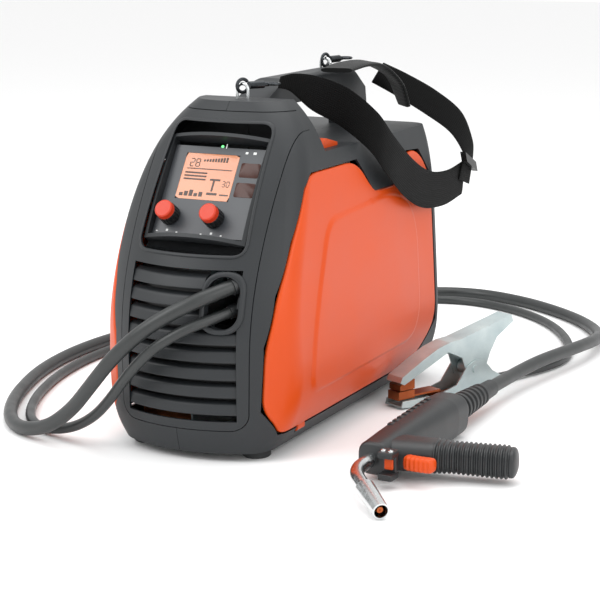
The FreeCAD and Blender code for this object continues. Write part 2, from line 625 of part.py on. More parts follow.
frame_low = ("fan_x - fan_frame/2", "fan_y - body_length/2", "fan_z - fan_frame/2")
fan_box = block(frame_low, ("fan_frame", "fan_thick", "fan_frame"))
fan_hole = rod(("fan_x", "fan_y - 1 - body_length/2", "fan_z"), "fan_dia/2 + 1.5", "fan_thick + 2", ALONG_Y)
fan_leg = block(("fan_x - 6", "fan_y - body_length/2", f"{wall_low}"),
                ("12", "fan_thick", f"fan_z - fan_frame/2 - {wall_low}"))
motor_cup = rod(("fan_x", "fan_y + 1 - body_length/2", "fan_z"), "fan_hub/2 - 2", "3", ALONG_Y)
cross = block(("fan_x - fan_frame/2", "fan_y + 1 - body_length/2", "fan_z - 3"), ("fan_frame", "3", "6"))
bearing = rod(("fan_x", "fan_y + 3 - body_length/2", "fan_z"), "2.94", "14", ALONG_Y)
fuse("fan_frame", cut(None, fan_box, fan_hole), fan_leg, cross, motor_cup, bearing)
blade = Part.makeBox(S.fan_dia / 2 - S.fan_hub / 2 + 2, 1.6, 15)
blade.rotate(Vector(0, 0, 7), Vector(1, 0, 0), 38)
blade.translate(Vector(S.fan_hub / 2 - 2, 0, 0))
hub = Part.makeCylinder(S.fan_hub / 2, 16).cut(Part.makeCylinder(3, 16))
blades = []
for number in range(7):
    turned_blade = blade.copy()
    turned_blade.rotate(Vector(), Vector(0, 0, 1), 360 * number / 7)
    blades.append(turned_blade)
ring_limit = Part.makeCylinder(S.fan_dia / 2, 30, Vector(0, 0, -8))
rotor = hub.fuse(blades).cut(Part.makeCylinder(3, 40, Vector(0, 0, -10))).common(ring_limit)
rotor_at = FreeCAD.Placement(Vector(S.fan_x, S.fan_y + 6 - HALF, S.fan_z), Rotation(Vector(1, 0, 0), -90))
shaped("fan_rotor", rotor, rotor_at)

# ---------------------------------------------------------------- wire spool and feeder
turned("spool_spindle", [("0", "0"), ("34", "0"), ("34", "5"), ("hub_dia/2", "5"), ("hub_dia/2", "80"),
                         ("0", "80")],
       ("inner_wall_x + inner_thick", "spool_y - body_length/2", "spool_z"), ALONG_X)
turned("wire_spool", [("spool_bore/2", "0"), ("spool_dia/2", "0"), ("spool_dia/2", "3"), ("62", "3"),
                      ("62", "5"), ("90", "5"), ("90", "spool_wide - 5"), ("62", "spool_wide - 5"),
                      ("62", "spool_wide - 3"), ("spool_dia/2", "spool_wide - 3"),
                      ("spool_dia/2", "spool_wide"), ("spool_bore/2", "spool_wide")],
       ("wire_x - spool_wide/2", "spool_y - body_length/2", "spool_z"), ALONG_X)
turned("spool_nut", [("0", "0"), ("30", "0"), ("30", "8"), ("24", "12"), ("0", "12")],
       ("inner_wall_x + inner_thick + 80", "spool_y - body_length/2", "spool_z"), ALONG_X)

drive_z = S.wire_z - S.drive_dia / 2 - 0.4
press_z = drive_z + S.drive_dia / 2 + S.press_dia / 2 + S.roll_gap
arm_y = S.feeder_y - 34
roll_x = S.wire_x - S.roll_wide / 2
feeder = plate(None, "XY_Plane", [("-44", "-52"), ("46", "-52"), ("46", "34"), ("-44", "34")],
               "feeder_thick", ("0", "0", "0"), False)
place(feeder, ("feeder_x", "feeder_y - body_length/2", f"{drive_z}"), Rotation(Vector(1, 1, 1), 120))
drive_hole = rod(("feeder_x - 1", "feeder_y - body_length/2", f"{drive_z}"), "axle_dia/2 + 1",
                 "feeder_thick + 2", ALONG_X)
bracket = block(("inner_wall_x + inner_thick", "feeder_y - 44 - body_length/2", f"{drive_z - 52}"),
                ("feeder_x - inner_wall_x - inner_thick", "90", "5"))
arm_post = rod(("feeder_x + feeder_thick - 1", f"{arm_y} - body_length/2", f"{press_z}"),
               "axle_dia/2 - axle_fit", "24", ALONG_X)
guide = cut(None, block(("wire_x - 5", "feeder_y + 26 - body_length/2", "wire_z - 7"), ("10", "18", "12")),
            rod(("wire_x", "feeder_y + 20 - body_length/2", "wire_z - 0.5"), "1.2", "30", ALONG_Y))
guide_foot = block(("feeder_x + feeder_thick - 1", "feeder_y + 28 - body_length/2", "wire_z - 6"),
                   ("wire_x - 5 - feeder_x - feeder_thick + 2", "14", "10"))
fuse("feeder_plate", cut(None, feeder, drive_hole), bracket, arm_post, guide, guide_foot)
motor_can = rod(("inner_wall_x + inner_thick + 3", "feeder_y - body_length/2", f"{drive_z}"), "22",
                "feeder_x - inner_wall_x - inner_thick - 3", ALONG_X)
motor_axle = rod(("feeder_x - 1", "feeder_y - body_length/2", f"{drive_z}"), "axle_dia/2 - axle_fit",
                 "wire_x + roll_wide/2 - feeder_x - 1", ALONG_X)
fuse("feed_motor", motor_can, motor_axle)


def roll(name, dia, z, y):
    """A plain feed roll with the bore for its axle."""
    turned(name, [("axle_dia/2", "0"), (f"{dia}/2", "0"), (f"{dia}/2", "roll_wide"),
                  ("axle_dia/2", "roll_wide")],
           ("wire_x - roll_wide/2", f"{y} - body_length/2", f"{z}"), ALONG_X)


roll("drive_roll", "drive_dia", drive_z, S.feeder_y)
roll("pressure_roll", "press_dia", press_z, S.feeder_y)
arm_x = S.wire_x + S.roll_wide / 2 + 0.8
arm = [(arm_y - 8, press_z - 6), (arm_y - 8, press_z + 7), (S.feeder_y + 4, press_z + 9),
       (S.feeder_y + 34, press_z + 5), (S.feeder_y + 34, press_z - 3), (S.feeder_y + 8, press_z - 7)]
ARM_THICK = 5
arm_shape = prism(arm, "X", arm_x, arm_x + ARM_THICK)
stub = Part.makeCylinder(S.axle_dia / 2 - S.axle_fit, arm_x - roll_x,
                         Vector(roll_x, S.feeder_y - HALF, press_z), Vector(1, 0, 0))
post_hole = Part.makeCylinder(S.axle_dia / 2, 40, Vector(S.feeder_x, arm_y - HALF, press_z),
                              Vector(1, 0, 0))
knob_at = Vector(arm_x + ARM_THICK / 2, S.feeder_y + 27 - HALF, press_z)
knob_seat = Part.makeCylinder(6, 10, knob_at + Vector(0, 0, 2), Vector(0, 0, 1))
stem_hole = Part.makeCylinder(S.stem_dia / 2 + S.axle_fit, 60, knob_at - Vector(0, 0, 20), Vector(0, 0, 1))
shaped("pressure_arm", arm_shape.fuse([stub, knob_seat]).cut(post_hole).cut(stem_hole))
tension = Part.makeCylinder(8, 22, Vector(0, 0, 12.3))
tension = tension.fuse(Part.makeCylinder(S.stem_dia / 2, 16, Vector(0, 0, -3)))
shaped("tension_knob", tension, FreeCAD.Placement(knob_at, Rotation()))

bracket_plate = crate(30, 72, BRACKET_FRONT, S.feeder_y - 44, 138, 196)
shaped("cable_sockets", bracket_plate.fuse([swath(collar_line(TORCH_LEAD), 9),
                                            swath(collar_line(EARTH_LEAD), 7)]))
screws = []
for depth in SCREW_DEPTHS:
    screws.append(rod(("0", f"{depth} - body_length/2", f"shoulder_top - {SCREW_SINK}"),
                      "screw_dia/2", "screw_long"))
group("housing_screws", *screws)

# ---------------------------------------------------------------- torch
torch_frame = FreeCAD.Placement(Vector(S.torch_x, S.torch_y - HALF, S.torch_z),
                                Rotation(Vector(0, 0, 1), S.torch_turn))


def ring_section(u, wide, tall, corner):
    """A rounded rectangle across the torch's axis."""
    corners = [Vector(u, -wide / 2, -tall / 2), Vector(u, wide / 2, -tall / 2),
               Vector(u, wide / 2, tall / 2), Vector(u, -wide / 2, tall / 2)]
    face = Part.Face(Part.makePolygon(corners + corners[:1]))
    lump = face.extrude(Vector(1, 0, 0))
    lump = rounded(lump, corner, "x")
    flat = [f for f in lump.Faces if abs(f.CenterOfMass.x - u) < 1e-6][0]
    return flat.OuterWire


L = S.barrel_long
barrel = Part.makeLoft([ring_section(0, 46, 46, 13), ring_section(26, 46, 46, 13),
                        ring_section(L * 0.55, 39, 40, 13), ring_section(L - 12, 32, 34, 13),
                        ring_section(L, 32, 34, 13)], True, True)
grip_root, grip_end = Vector(L * 0.83, 8, 0), Vector(L * 0.68, 128, -2)


def grip_section(share, wide, tall, corner):
    """A rounded section across the pistol grip at a share of its length."""
    way = (grip_end - grip_root).normalize()
    centre = grip_root + (grip_end - grip_root) * share
    wire = ring_section(0, wide, tall, corner)
    wire.rotate(Vector(), Vector(0, 0, 1), math.degrees(math.atan2(way.y, way.x)))
    wire.translate(centre)
    return wire


grip = Part.makeLoft([grip_section(0, 50, 30, 10), grip_section(0.35, 46, 30, 10),
                      grip_section(0.5, 31, 28, 10), grip_section(0.96, 33, 30, 10),
                      grip_section(1, 29, 26, 9)], True, True)
handle_shape = barrel.fuse(grip)
# pocket for the trigger in the front face of the grip
pocket = Part.makeBox(26, 34, S.trigger_wide + 2 * S.trigger_fit,
                      Vector(L * 0.9, 26, -S.trigger_wide / 2 - S.trigger_fit))
handle_shape = handle_shape.cut(pocket)
shaped("torch_handle", handle_shape, torch_frame)

trigger = Part.makeBox(15, 27, S.trigger_wide, Vector(L * 0.9 + 4, 28, -S.trigger_wide / 2))
shaped("torch_trigger", trigger, torch_frame)


def swept(points, radius, bend):
    """A round bar along straight runs joined by an arc of a given bend radius."""
    start, corner, end = points
    one, two = (corner - start).normalize(), (end - corner).normalize()
    turn = one.getAngle(two)
    back = bend * math.tan(turn / 2)
    a, b = corner - one * back, corner + two * back
    inward = (two - one).normalize()
    middle = corner + inward * (bend / math.cos(turn / 2) - bend)
    path = Part.Wire([Part.makeLine(start, a), Part.Arc(a, middle, b).toShape(), Part.makeLine(b, end)])
    ring = Part.Wire([Part.makeCircle(radius, start, one)])
    return path.makePipeShell([ring], True, False), two


neck_points = (Vector(L, 0, 0), Vector(L + 42, 0, 0), Vector(L + 74, 32, -8))
neck, aim = swept(neck_points, S.neck_dia / 2, 48)
neck_end = neck_points[2]
shaped("swan_neck", neck, torch_frame)
nozzle_start = neck_end - aim * 10
mouth_radius = S.nozzle_dia / 2 - 0.8
nozzle_outer = Part.makeCone(S.nozzle_dia / 2 + 0.6, mouth_radius, S.nozzle_long, nozzle_start, aim)
nozzle_inner = Part.makeCylinder(S.neck_dia / 2, 12, nozzle_start - aim, aim).fuse(
    Part.makeCylinder(mouth_radius - S.nozzle_wall, S.nozzle_long + 4, nozzle_start, aim))
shaped("gas_nozzle", nozzle_outer.cut(nozzle_inner), torch_frame)
tip = Part.makeCylinder(4.5, 12, neck_end, aim).fuse(Part.makeCylinder(S.tip_dia / 2, 33, neck_end, aim))
shaped("contact_tip", tip.cut(Part.makeCylinder(0.6, 80, neck_end - aim * 10, aim)), torch_frame)
guard = Part.makeBox(18, 30, 6, Vector(L + 0.4, 14, 8))
guard = guard.fuse(Part.makeBox(18, 30, 6, Vector(L + 0.4, 14, -14)))
guard = guard.fuse(Part.makeBox(6, 30, 28, Vector(L + 0.4, 14, -14)))
shaped("trigger_guard", guard, torch_frame)

relief = Part.makeCone(S.relief_dia / 2, S.relief_end / 2, S.relief_long, Vector(0, 0, 0), Vector(-1, 0, 0))
for number in range(7):
    spot = -10 - number * 11
    size = S.relief_dia / 2 + 2 - number * 0.4
    relief = relief.fuse(Part.makeCylinder(size, 8, Vector(spot, 0, 0), Vector(-1, 0, 0)))
socket_depth = 14
relief = relief.cut(Part.makeCylinder(S.cable_dia / 2, socket_depth,
                                      Vector(-S.relief_long + socket_depth, 0, 0), Vector(-1, 0, 0)))
shaped("bend_relief", relief, torch_frame)

# ---------------------------------------------------------------- earth clamp
clamp_frame = FreeCAD.Placement(Vector(S.clamp_x, S.clamp_y - HALF, 0),
                                Rotation(Vector(0, 0, 1), S.clamp_turn))


def upright(points, wide):
    """A plate outline of (along, height) points, padded evenly across the clamp's middle."""
    flat = [Vector(u, -wide / 2, z) for u, z in points]
    return Part.Face(Part.makePolygon(flat + flat[:1])).extrude(Vector(0, wide, 0))


def channel(points, wide, lift):
    """A pressed channel: two side plates joined by a web along the top or bottom edge."""
    solid = upright(points, wide)
    core = upright([(u, z + lift) for u, z in points], wide - 2 * S.clamp_plate)
    return solid.cut(core)


lower_edge = [(-46, 3), (-44, 10), (-14, 9.5), (12, 8.5), (40, 15), (56, 34), (70, 40), (84, 37), (98, 23),
              (122, 10), (124, 0), (4, 0), (-30, 1)]
upper_edge = [(-46, 31), (-43, 37), (-14, 51), (10, 61), (30, 66), (46, 67), (130, 84), (133, 76), (106, 61),
              (95, 44), (86, 22), (70, 17), (59, 21), (50, 45), (28, 55), (-10, 40), (-40, 28)]
pivot = Vector(S.pivot_u, 0, S.pivot_z)
inside_wide = S.clamp_wide - 2 * S.clamp_plate - 2 * S.clamp_gap
pivot_hole = Part.makeCylinder(S.pivot_dia / 2 + S.pivot_fit, 80, pivot + Vector(0, -40, 0), Vector(0, 1, 0))
lower_jaw = channel(lower_edge, S.clamp_wide, S.clamp_plate)
upper_jaw = channel(upper_edge, inside_wide, -S.clamp_plate).cut(pivot_hole)
shaped("clamp_lower_jaw", lower_jaw.cut(pivot_hole), clamp_frame)
shaped("clamp_upper_jaw", upper_jaw, clamp_frame)
rivet = Part.makeCylinder(S.pivot_dia / 2, S.clamp_wide + 2, pivot + Vector(0, -S.clamp_wide / 2 - 1, 0),
                          Vector(0, 1, 0))
for side in (-1, 1):
    head = Part.makeCylinder(S.pivot_dia / 2 + 2, 1.2, pivot + Vector(0, side * S.clamp_wide / 2, 0),
                             Vector(0, side, 0))
    rivet = rivet.fuse(head)
shaped("clamp_pivot", rivet, clamp_frame)
spring = Part.makeCylinder(8, 18, pivot + Vector(0, -9, 0), Vector(0, 1, 0)).cut(
    Part.makeCylinder(S.pivot_dia / 2 + 0.3, 20, pivot + Vector(0, -10, 0), Vector(0, 1, 0)))
shaped("clamp_spring", spring, clamp_frame)
wide = S.contact_wide
contact_up = upright([(-44, 21), (-22, 21), (-22, 32), (-44, 27.6)], wide)
contact_up = contact_up.cut(upright(upper_edge, inside_wide))
shaped("clamp_contact_upper", max(contact_up.Solids, key=lambda solid: solid.Volume), clamp_frame)
strip = upright([(-46, 10.3), (-22, 10.3), (-22, 12), (14, 11.2), (14, 3), (60, 3), (60, 5), (18, 5),
                 (18, 13.4), (-22, 14), (-22, 20), (-46, 20)], wide)
crimp = Part.makeCylinder(S.earth_dia / 2, 50, Vector(60, 0, 2 + S.earth_dia / 2), Vector(1, 0, 0))
shaped("clamp_contact_lower", strip.fuse(crimp), clamp_frame)

# ---------------------------------------------------------------- cables and strap


def tube(name, points, dia):
    """A cord's plain solid: straight runs joined by arcs as large as the runs allow."""
    points = [Vector(x, y - HALF, z) for x, y, z in points]
    edges, last, tightest = [], points[0], BIG
    for before, corner, after in zip(points, points[1:], points[2:]):
        one, two = corner - before, after - corner
        turn = one.getAngle(two)
        radius = 0.45 * min(one.Length, two.Length) / math.tan(turn / 2)
        tightest = min(tightest, radius)
        one, two = one.normalize(), two.normalize()
        back = radius * math.tan(turn / 2)
        a, b = corner - one * back, corner + two * back
        middle = corner + (two - one).normalize() * (radius / math.cos(turn / 2) - radius)
        edges += [Part.makeLine(last, a), Part.Arc(a, middle, b).toShape()]
        last = b
    edges.append(Part.makeLine(last, points[-1]))
    path = Part.Wire(edges)
    start = (points[1] - points[0]).normalize()
    solid = path.makePipeShell([Part.Wire([Part.makeCircle(dia / 2, points[0], start)])], True, False)
    expected = math.pi * dia ** 2 / 4 * path.Length
    print(f"{name}: length {path.Length:.0f} mm, tightest radius {tightest:.0f} mm, "
          f"volume {solid.Volume / expected:.4f} of section times length")
    return shaped(name, solid)


torch_end = torch_frame.multVec(Vector(-S.relief_long, 0, 0))
TORCH_ROUTE = [
    *TORCH_LEAD, (-53, -28, 110), (-85, -23, 74),
    (-114, -14, 43), (-150, -7, 17.5), (-192, 6, 7.5), (-226, 34, 7.5), (-262, 90, 7.5), (-292, 158, 7.5),
    (-316, 232, 7.5), (-328, 312, 7.5), (-326, 392, 7.5), (-310, 470, 7.5), (-282, 552, 7.5),
    (-240, 634, 7.5), (-192, 712, 7.5), (-134, 786, 7.5), (-72, 846, 7.5), (-2, 870, 7.5),
    (74, 846, 7.5), (136, 806, 7.5), (186, 762, 7.5), (224, 708, 9), (246, 646, 15), (248, 584, 21),
    (240, 522, 24), (229, 460, 25.5), (220, 395, S.torch_z), ]
TORCH_ROUTE.append((torch_end.x, torch_end.y + HALF, torch_end.z))
tube("torch_cable", TORCH_ROUTE, S.cable_dia)
earth_end = clamp_frame.multVec(Vector(110, 0, 2 + S.earth_dia / 2))
EARTH_ROUTE = [
    *EARTH_LEAD, (-43, -19, 90), (-71, -8, 58),
    (-100, 4, 31.5), (-135, 13, 13), (-176, 23, 5.5), (-208, 46, 5.5), (-240, 96, 5.5),
    (-268, 160, 5.5), (-290, 236, 5.5), (-300, 316, 5.5), (-296, 396, 5.5), (-280, 470, 5.5),
    (-254, 544, 5.5), (-216, 618, 5.5), (-170, 690, 5.5), (-118, 756, 5.5), (-60, 806, 5.5),
    (4, 824, 5.5), (70, 802, 5.5), (124, 764, 5.5), (166, 716, 5.5), (200, 658, 5.5), (222, 600, 5.5),
    (228, 550, 5.5), (219, 505, 6), ]
earth_lead = clamp_frame.multVec(Vector(158, 0, 2 + S.earth_dia / 2))
for spot in (earth_lead, earth_end):
    EARTH_ROUTE.append((spot.x, spot.y + HALF, spot.z))
tube("earth_cable", EARTH_ROUTE, S.earth_dia)


def ribbon(name, stations, thick):
    """Flat webbing: a thin section carried through stations of centre, half width and face normal."""
    sections = []
    for centre, across, normal in stations:
        middle = Vector(centre[0], centre[1] - HALF, centre[2])
        across, normal = Vector(*across), Vector(*normal).normalize() * (thick / 2)
        corners = [middle - across - normal, middle + across - normal, middle + across + normal,
                   middle - across + normal]
        sections.append(Part.makePolygon(corners + corners[:1]))
    solid = Part.makeLoft(sections, True, True)
    if solid.Volume < 0:
        solid.reverse()
    return shaped(name, solid)


ribbon("strap_front", [
    ((28, 213, 364), (2, 1, 9), (-1, 0, 0.2)), ((44, 232, 352), (3, 2, 18), (-1, 0, 0.2)),
    ((71, 248, 337), (5, -2, 21), (-1, 0, 0.3)), ((103, 254, 312), (2, 4, 21), (-1, 0, 0.1)),
    ((114, 276, 284), (0, 9, 20), (-1, 0, 0)), ((116, 322, 254), (0, 10, 20), (-1, 0, 0)),
    ((117, 372, 234), (0, 9, 20), (-1, 0, 0)), ((118, 430, 228), (0, 5, 20), (-1, 0, 0)),
    ((118, 488, 234), (0, 4, 20), (-1, 0, 0))], S.strap_thick)
ribbon("strap_rear", [
    ((120.6, 484, 228), (0, 17, -5), (-1, 0, 0)), ((120.6, 496, 257), (0, 17, 1), (-1, 0, 0)),
    ((115, 507, 270), (0, 15, 7), (-1, 0, 0)), ((99, 508, 296), (2, 13, 11), (-1, 0, 0.15)),
    ((76, 486, 320), (3, 10, 13), (-1, 0, 0.23)), ((50, 458, 342), (4, 9, 12), (-1, 0, 0.33)),
    ((30, 432, 358), (4, 8, 11), (-1, 0, 0.36))], S.strap_thick)
ribbon("shoulder_pad", [
    ((38, 300, 371), (17, 4, 0), (0, 0, 1)), ((38, 345, 374), (20, 6, 0), (0, 0, 1)),
    ((44, 388, 371), (20, -8, -2), (0.1, 0, 1)), ((58, 416, 352), (17, -14, -4), (0.6, 0.5, 1)),
    ((66, 428, 322), (13, -15, 0), (1, 0.8, 0.2))], S.pad_thick)
ribbon("strap_slider", [
    ((125.3, 484, 258), (0, 18, -8), (-1, 0, 0)), ((125.3, 490, 246), (0, 18, -8), (-1, 0, 0))],
       S.slider_thick)

# ---------------------------------------------------------------- check and write
doc.recompute()
for item in doc.Objects:
    if "Invalid" in item.State or "Error" in item.State:
        raise RuntimeError(f"{item.Label} failed: {item.State}")
os.makedirs("parts", exist_ok=True)
for item in nodes:
    if item.Shape.isNull() or not item.Shape.isValid() or not item.Shape.Solids:
        raise RuntimeError(f"{item.Label} has no valid solid")
    item.Shape.exportStep(f"parts/{item.Label}.step")
print(len(nodes), "nodes written")
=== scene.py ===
import math

import bpy
import numpy as np
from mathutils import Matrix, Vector


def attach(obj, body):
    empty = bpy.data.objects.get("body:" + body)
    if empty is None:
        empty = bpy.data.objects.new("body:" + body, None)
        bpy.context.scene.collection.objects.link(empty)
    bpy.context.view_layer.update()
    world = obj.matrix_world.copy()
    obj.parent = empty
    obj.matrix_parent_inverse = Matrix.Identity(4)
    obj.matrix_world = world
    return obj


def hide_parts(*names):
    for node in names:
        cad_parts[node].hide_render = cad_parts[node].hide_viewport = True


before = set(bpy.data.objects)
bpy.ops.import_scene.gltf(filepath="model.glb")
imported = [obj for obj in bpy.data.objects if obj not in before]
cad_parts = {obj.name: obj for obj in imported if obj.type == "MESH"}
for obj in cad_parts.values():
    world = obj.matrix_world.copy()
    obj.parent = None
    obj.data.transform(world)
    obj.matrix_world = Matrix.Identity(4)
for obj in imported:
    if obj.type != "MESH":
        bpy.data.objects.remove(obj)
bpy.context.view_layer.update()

bl_info = {
    "name": "Wire Welding Machine",
    "version": (1, 0, 0),
    "blender": (4, 5, 0),
    "location": "3D View > Sidebar > Welder",
    "description": "Builds the visible pieces and finishes of a MIG welding machine on its CAD frame",
    "category": "Object",
}

# Lengths in the shape functions are millimetres. X is the machine's right, depth is counted back
# from the front and becomes Y, Z is up from the floor.
MIDDLE = 225.0


def metres(x, depth, z):
    """Millimetre arrays of right, depth and height, stacked as points in metres."""
    x, depth, z = np.broadcast_arrays(x, depth, z)
    return np.stack([x, depth - MIDDLE, z], axis=-1).astype(float) / 1000


# ---------------------------------------------------------------- meshes from grids

def put_mesh(name, points, faces, uv=None, sharp=38):
    """A mesh object from points, faces and one UV pair per point, with its edges sharp past an angle."""
    mesh = bpy.data.meshes.new(name)
    mesh.from_pydata(points.tolist(), [], faces)
    if uv is not None:
        corners = np.zeros(len(mesh.loops), np.int32)
        mesh.loops.foreach_get("vertex_index", corners)
        layer = mesh.uv_layers.new(name="thread_map")
        layer.data.foreach_set("uv", np.asarray(uv, np.float32)[corners].ravel())
    mesh.polygons.foreach_set("use_smooth", np.ones(len(mesh.polygons), bool))
    mesh.update()
    mesh.set_sharp_from_angle(angle=math.radians(sharp))
    piece = bpy.data.objects.new(name, mesh)
    bpy.context.scene.collection.objects.link(piece)
    return piece


def grid_faces(rows, columns, round_rows=False, round_columns=False, start=0):
    """Four-cornered faces over a grid of points, joined round either way where asked."""
    i = np.arange(rows if round_rows else rows - 1)
    j = np.arange(columns if round_columns else columns - 1)
    i, j = np.meshgrid(i, j, indexing="ij")
    up, right = (i + 1) % rows, (j + 1) % columns
    quads = np.stack([i * columns + j, up * columns + j, up * columns + right, i * columns + right], -1)
    return (quads.reshape(-1, 4) + start).tolist()


def outward(points, faces):
    """Faces turned so that the closed surface they make holds a positive volume."""
    p = np.asarray(points)
    p = p - p.mean(0)
    fans = np.array([(f[0], f[k], f[k + 1]) for f in faces for k in range(1, len(f) - 1)])
    total = (p[fans[:, 0]] * np.cross(p[fans[:, 1]], p[fans[:, 2]])).sum()
    return faces if total > 0 else [f[::-1] for f in faces]


def closed_bar(name, grid, uv=None, sharp=38):
    """A bar from a grid of rings: rings joined one to the next, and both end rings closed by a face."""
    rows, columns = grid.shape[:2]
    points = grid.reshape(-1, 3)
    faces = grid_faces(rows, columns, round_columns=True)
    faces += [list(range(columns)), list(range((rows - 1) * columns, rows * columns))[::-1]]
    return put_mesh(name, points, outward(points, faces), uv, sharp)


def ring_loop(name, grid, sharp=38):
    """A closed hoop from a grid of rings, joined round both ways."""
    rows, columns = grid.shape[:2]
    points = grid.reshape(-1, 3)
    faces = grid_faces(rows, columns, True, True)
    return put_mesh(name, points, outward(points, faces), None, sharp)


def joined(name, pieces):
    """Several finished pieces of one finish, made one object."""
    points, faces, base = [], [], 0
    for piece in pieces:
        mesh = piece.data
        co = np.zeros(len(mesh.vertices) * 3)
        mesh.vertices.foreach_get("co", co)
        points.append(co.reshape(-1, 3))
        faces += [[v + base for v in polygon.vertices] for polygon in mesh.polygons]
        base += len(mesh.vertices)
        bpy.data.objects.remove(piece)
        bpy.data.meshes.remove(mesh)
    return put_mesh(name, np.concatenate(points), faces)


def smooth_line(stations, count):
    """Rows of numbers drawn out to more rows by a Catmull-Rom curve through every station."""
    p = np.asarray(stations, float)
    p = np.vstack([2 * p[0] - p[1], p, 2 * p[-1] - p[-2]])
    t = np.linspace(0, len(p) - 3, count)
    k = np.minimum(t.astype(int), len(p) - 4)
    f = (t - k)[:, None]
    a, b, c, d = p[k], p[k + 1], p[k + 2], p[k + 3]
    return 0.5 * (2 * b + (c - a) * f + (2 * a - 5 * b + 4 * c - d) * f ** 2
                  + (3 * b - a - 3 * c + d) * f ** 3)


def round_corners(corners, radius, steps=6):
    """A polygon whose corners are eased by quadratic curves that start a radius before each corner."""
    c = np.asarray(corners, float)
    before, after = np.roll(c, 1, 0), np.roll(c, -1, 0)
    reach = np.broadcast_to(np.asarray(radius, float), (len(c),))[:, None]

    def towards(other):
        way = other - c
        length = np.linalg.norm(way, axis=1)[:, None]
        return c + way / length * np.minimum(reach, length * 0.48)

    a, b = towards(before), towards(after)
    t = np.linspace(0, 1, steps)[None, :, None]
    eased = (1 - t) ** 2 * a[:, None] + 2 * t * (1 - t) * c[:, None] + t ** 2 * b[:, None]
    return eased.reshape(-1, c.shape[1])


def even_loop(loop, count):
    """A closed outline walked in steps of equal length."""
    p = np.vstack([loop, loop[:1]])
    reach = np.concatenate([[0], np.cumsum(np.linalg.norm(np.diff(p, axis=0), axis=1))])
    s = np.linspace(0, reach[-1], count, endpoint=False)
    return np.stack([np.interp(s, reach, p[:, k]) for k in range(p.shape[1])], -1)


def inside_distance(points, outline):
    """How far each flat point lies inside an outline; negative outside it."""
    a, b = outline, np.roll(outline, -1, 0)
    edge = b - a
    rel = points[:, None, :] - a[None]
    t = np.clip((rel * edge).sum(-1) / (edge ** 2).sum(-1), 0, 1)
    away = np.linalg.norm(rel - t[..., None] * edge, axis=-1).min(1)
    y, y0, y1 = points[:, 1][:, None], a[:, 1], b[:, 1]
    crosses = (y0 > y) != (y1 > y)
    x_at = a[:, 0] + (y - y0) / np.where(y1 == y0, 1e-9, y1 - y0) * edge[:, 0]
    inside = (crosses & (points[:, 0][:, None] < x_at)).sum(1) % 2 == 1
    return np.where(inside, away, -away)


def ease(x):
    """Smooth step from 0 to 1."""
    x = np.clip(x, 0, 1)
    return x * x * (3 - 2 * x)


def superellipse(count, power):
    """Unit rounded-square ring: cosine and sine with their sizes raised to 2/power."""
    t = np.linspace(0, 2 * math.pi, count, endpoint=False)
    c, s = np.cos(t), np.sin(t)
    return np.sign(c) * np.abs(c) ** (2 / power), np.sign(s) * np.abs(s) ** (2 / power)


def rounded_ends(along, sizes, radius):
    """Stations with both ends eased: the size falls by a quarter circle over the last radius."""
    span = along[-1] - along[0]
    turn = np.linspace(0, math.pi / 2, 6)
    head = radius * (1 - np.cos(turn))
    spots = np.concatenate([along[0] + head, np.linspace(along[0] + radius, along[-1] - radius, 120)[1:-1],
                            (along[-1] - head)[::-1]])
    full = np.stack([np.interp(spots, along, column) for column in np.asarray(sizes, float).T], -1)
    near = np.minimum(spots - along[0], along[-1] - spots)
    inset = radius - np.sqrt(np.maximum(0, radius ** 2 - np.maximum(0, radius - near) ** 2))
    assert span > 2 * radius
    return spots, full - inset[:, None]


def bar_in(place, spots, half_side, half_up, offset_side=0, offset_up=0, power=3.0, count=44):
    """A bar along a local axis: at each spot a superellipse of the two half sizes, put through place."""
    c, s = superellipse(count, power)
    u = np.repeat(np.asarray(spots, float)[:, None], count, 1)
    v = np.asarray(offset_side)[..., None] * np.ones(count) + np.asarray(half_side)[:, None] * c
    w = np.asarray(offset_up)[..., None] * np.ones(count) + np.asarray(half_up)[:, None] * s
    return place(u, v, w)


# ---------------------------------------------------------------- the casing's surface

BELLY, FLOOR_GAP, HOOD_TOP = 95.0, 9.0, 352.0


def half_width(z):
    """Half the casing's width by height: a belly that leans in upwards and tucks in at both ends."""
    low = 111 - 27 * (np.clip(BELLY - z, 0, None) / (BELLY - FLOOR_GAP)) ** 3
    rise = np.clip(z - BELLY, 0, None)
    high = 111 - 0.055 * rise - 45 * (rise / (HOOD_TOP - BELLY)) ** 6
    return np.where(z < BELLY, low, high)


def front_depth(z):
    """How far the front stands back by height, on the middle line."""
    return 8 * (np.clip(60 - z, 0, None) / 50) ** 2 + 0.0088 * np.clip(z - 120, 0, None) ** 1.75


def front_at(x, z):
    """Depth of the bowed front face: an upright cylinder of 140 mm radius set back by height."""
    return front_depth(z) + 140 - np.sqrt(140 ** 2 - np.clip(np.abs(x), 0, 120) ** 2)


def side_at(depth, z):
    """Half width at a depth and height: the bow, the 35 mm corner, the flat side, the 24 mm rear corner."""
    wide, middle = half_width(z), front_depth(z) + 140
    corner_depth = middle - np.sqrt(105 ** 2 - (wide - 35) ** 2)
    touch = np.arctan2(wide - 35, middle - corner_depth)
    bow = np.sqrt(np.clip(140 ** 2 - (middle - depth) ** 2, 1, None))
    corner = wide - 35 + np.sqrt(np.clip(35 ** 2 - np.clip(corner_depth - depth, 0, 35) ** 2, 0, None))
    rear = wide - 24 + np.sqrt(np.clip(24 ** 2 - np.clip(depth - 426, 0, 24) ** 2, 0, None))
    on_bow = depth < corner_depth - 35 * np.cos(touch)
    return np.where(on_bow, bow, np.where(depth > 426, rear, corner))


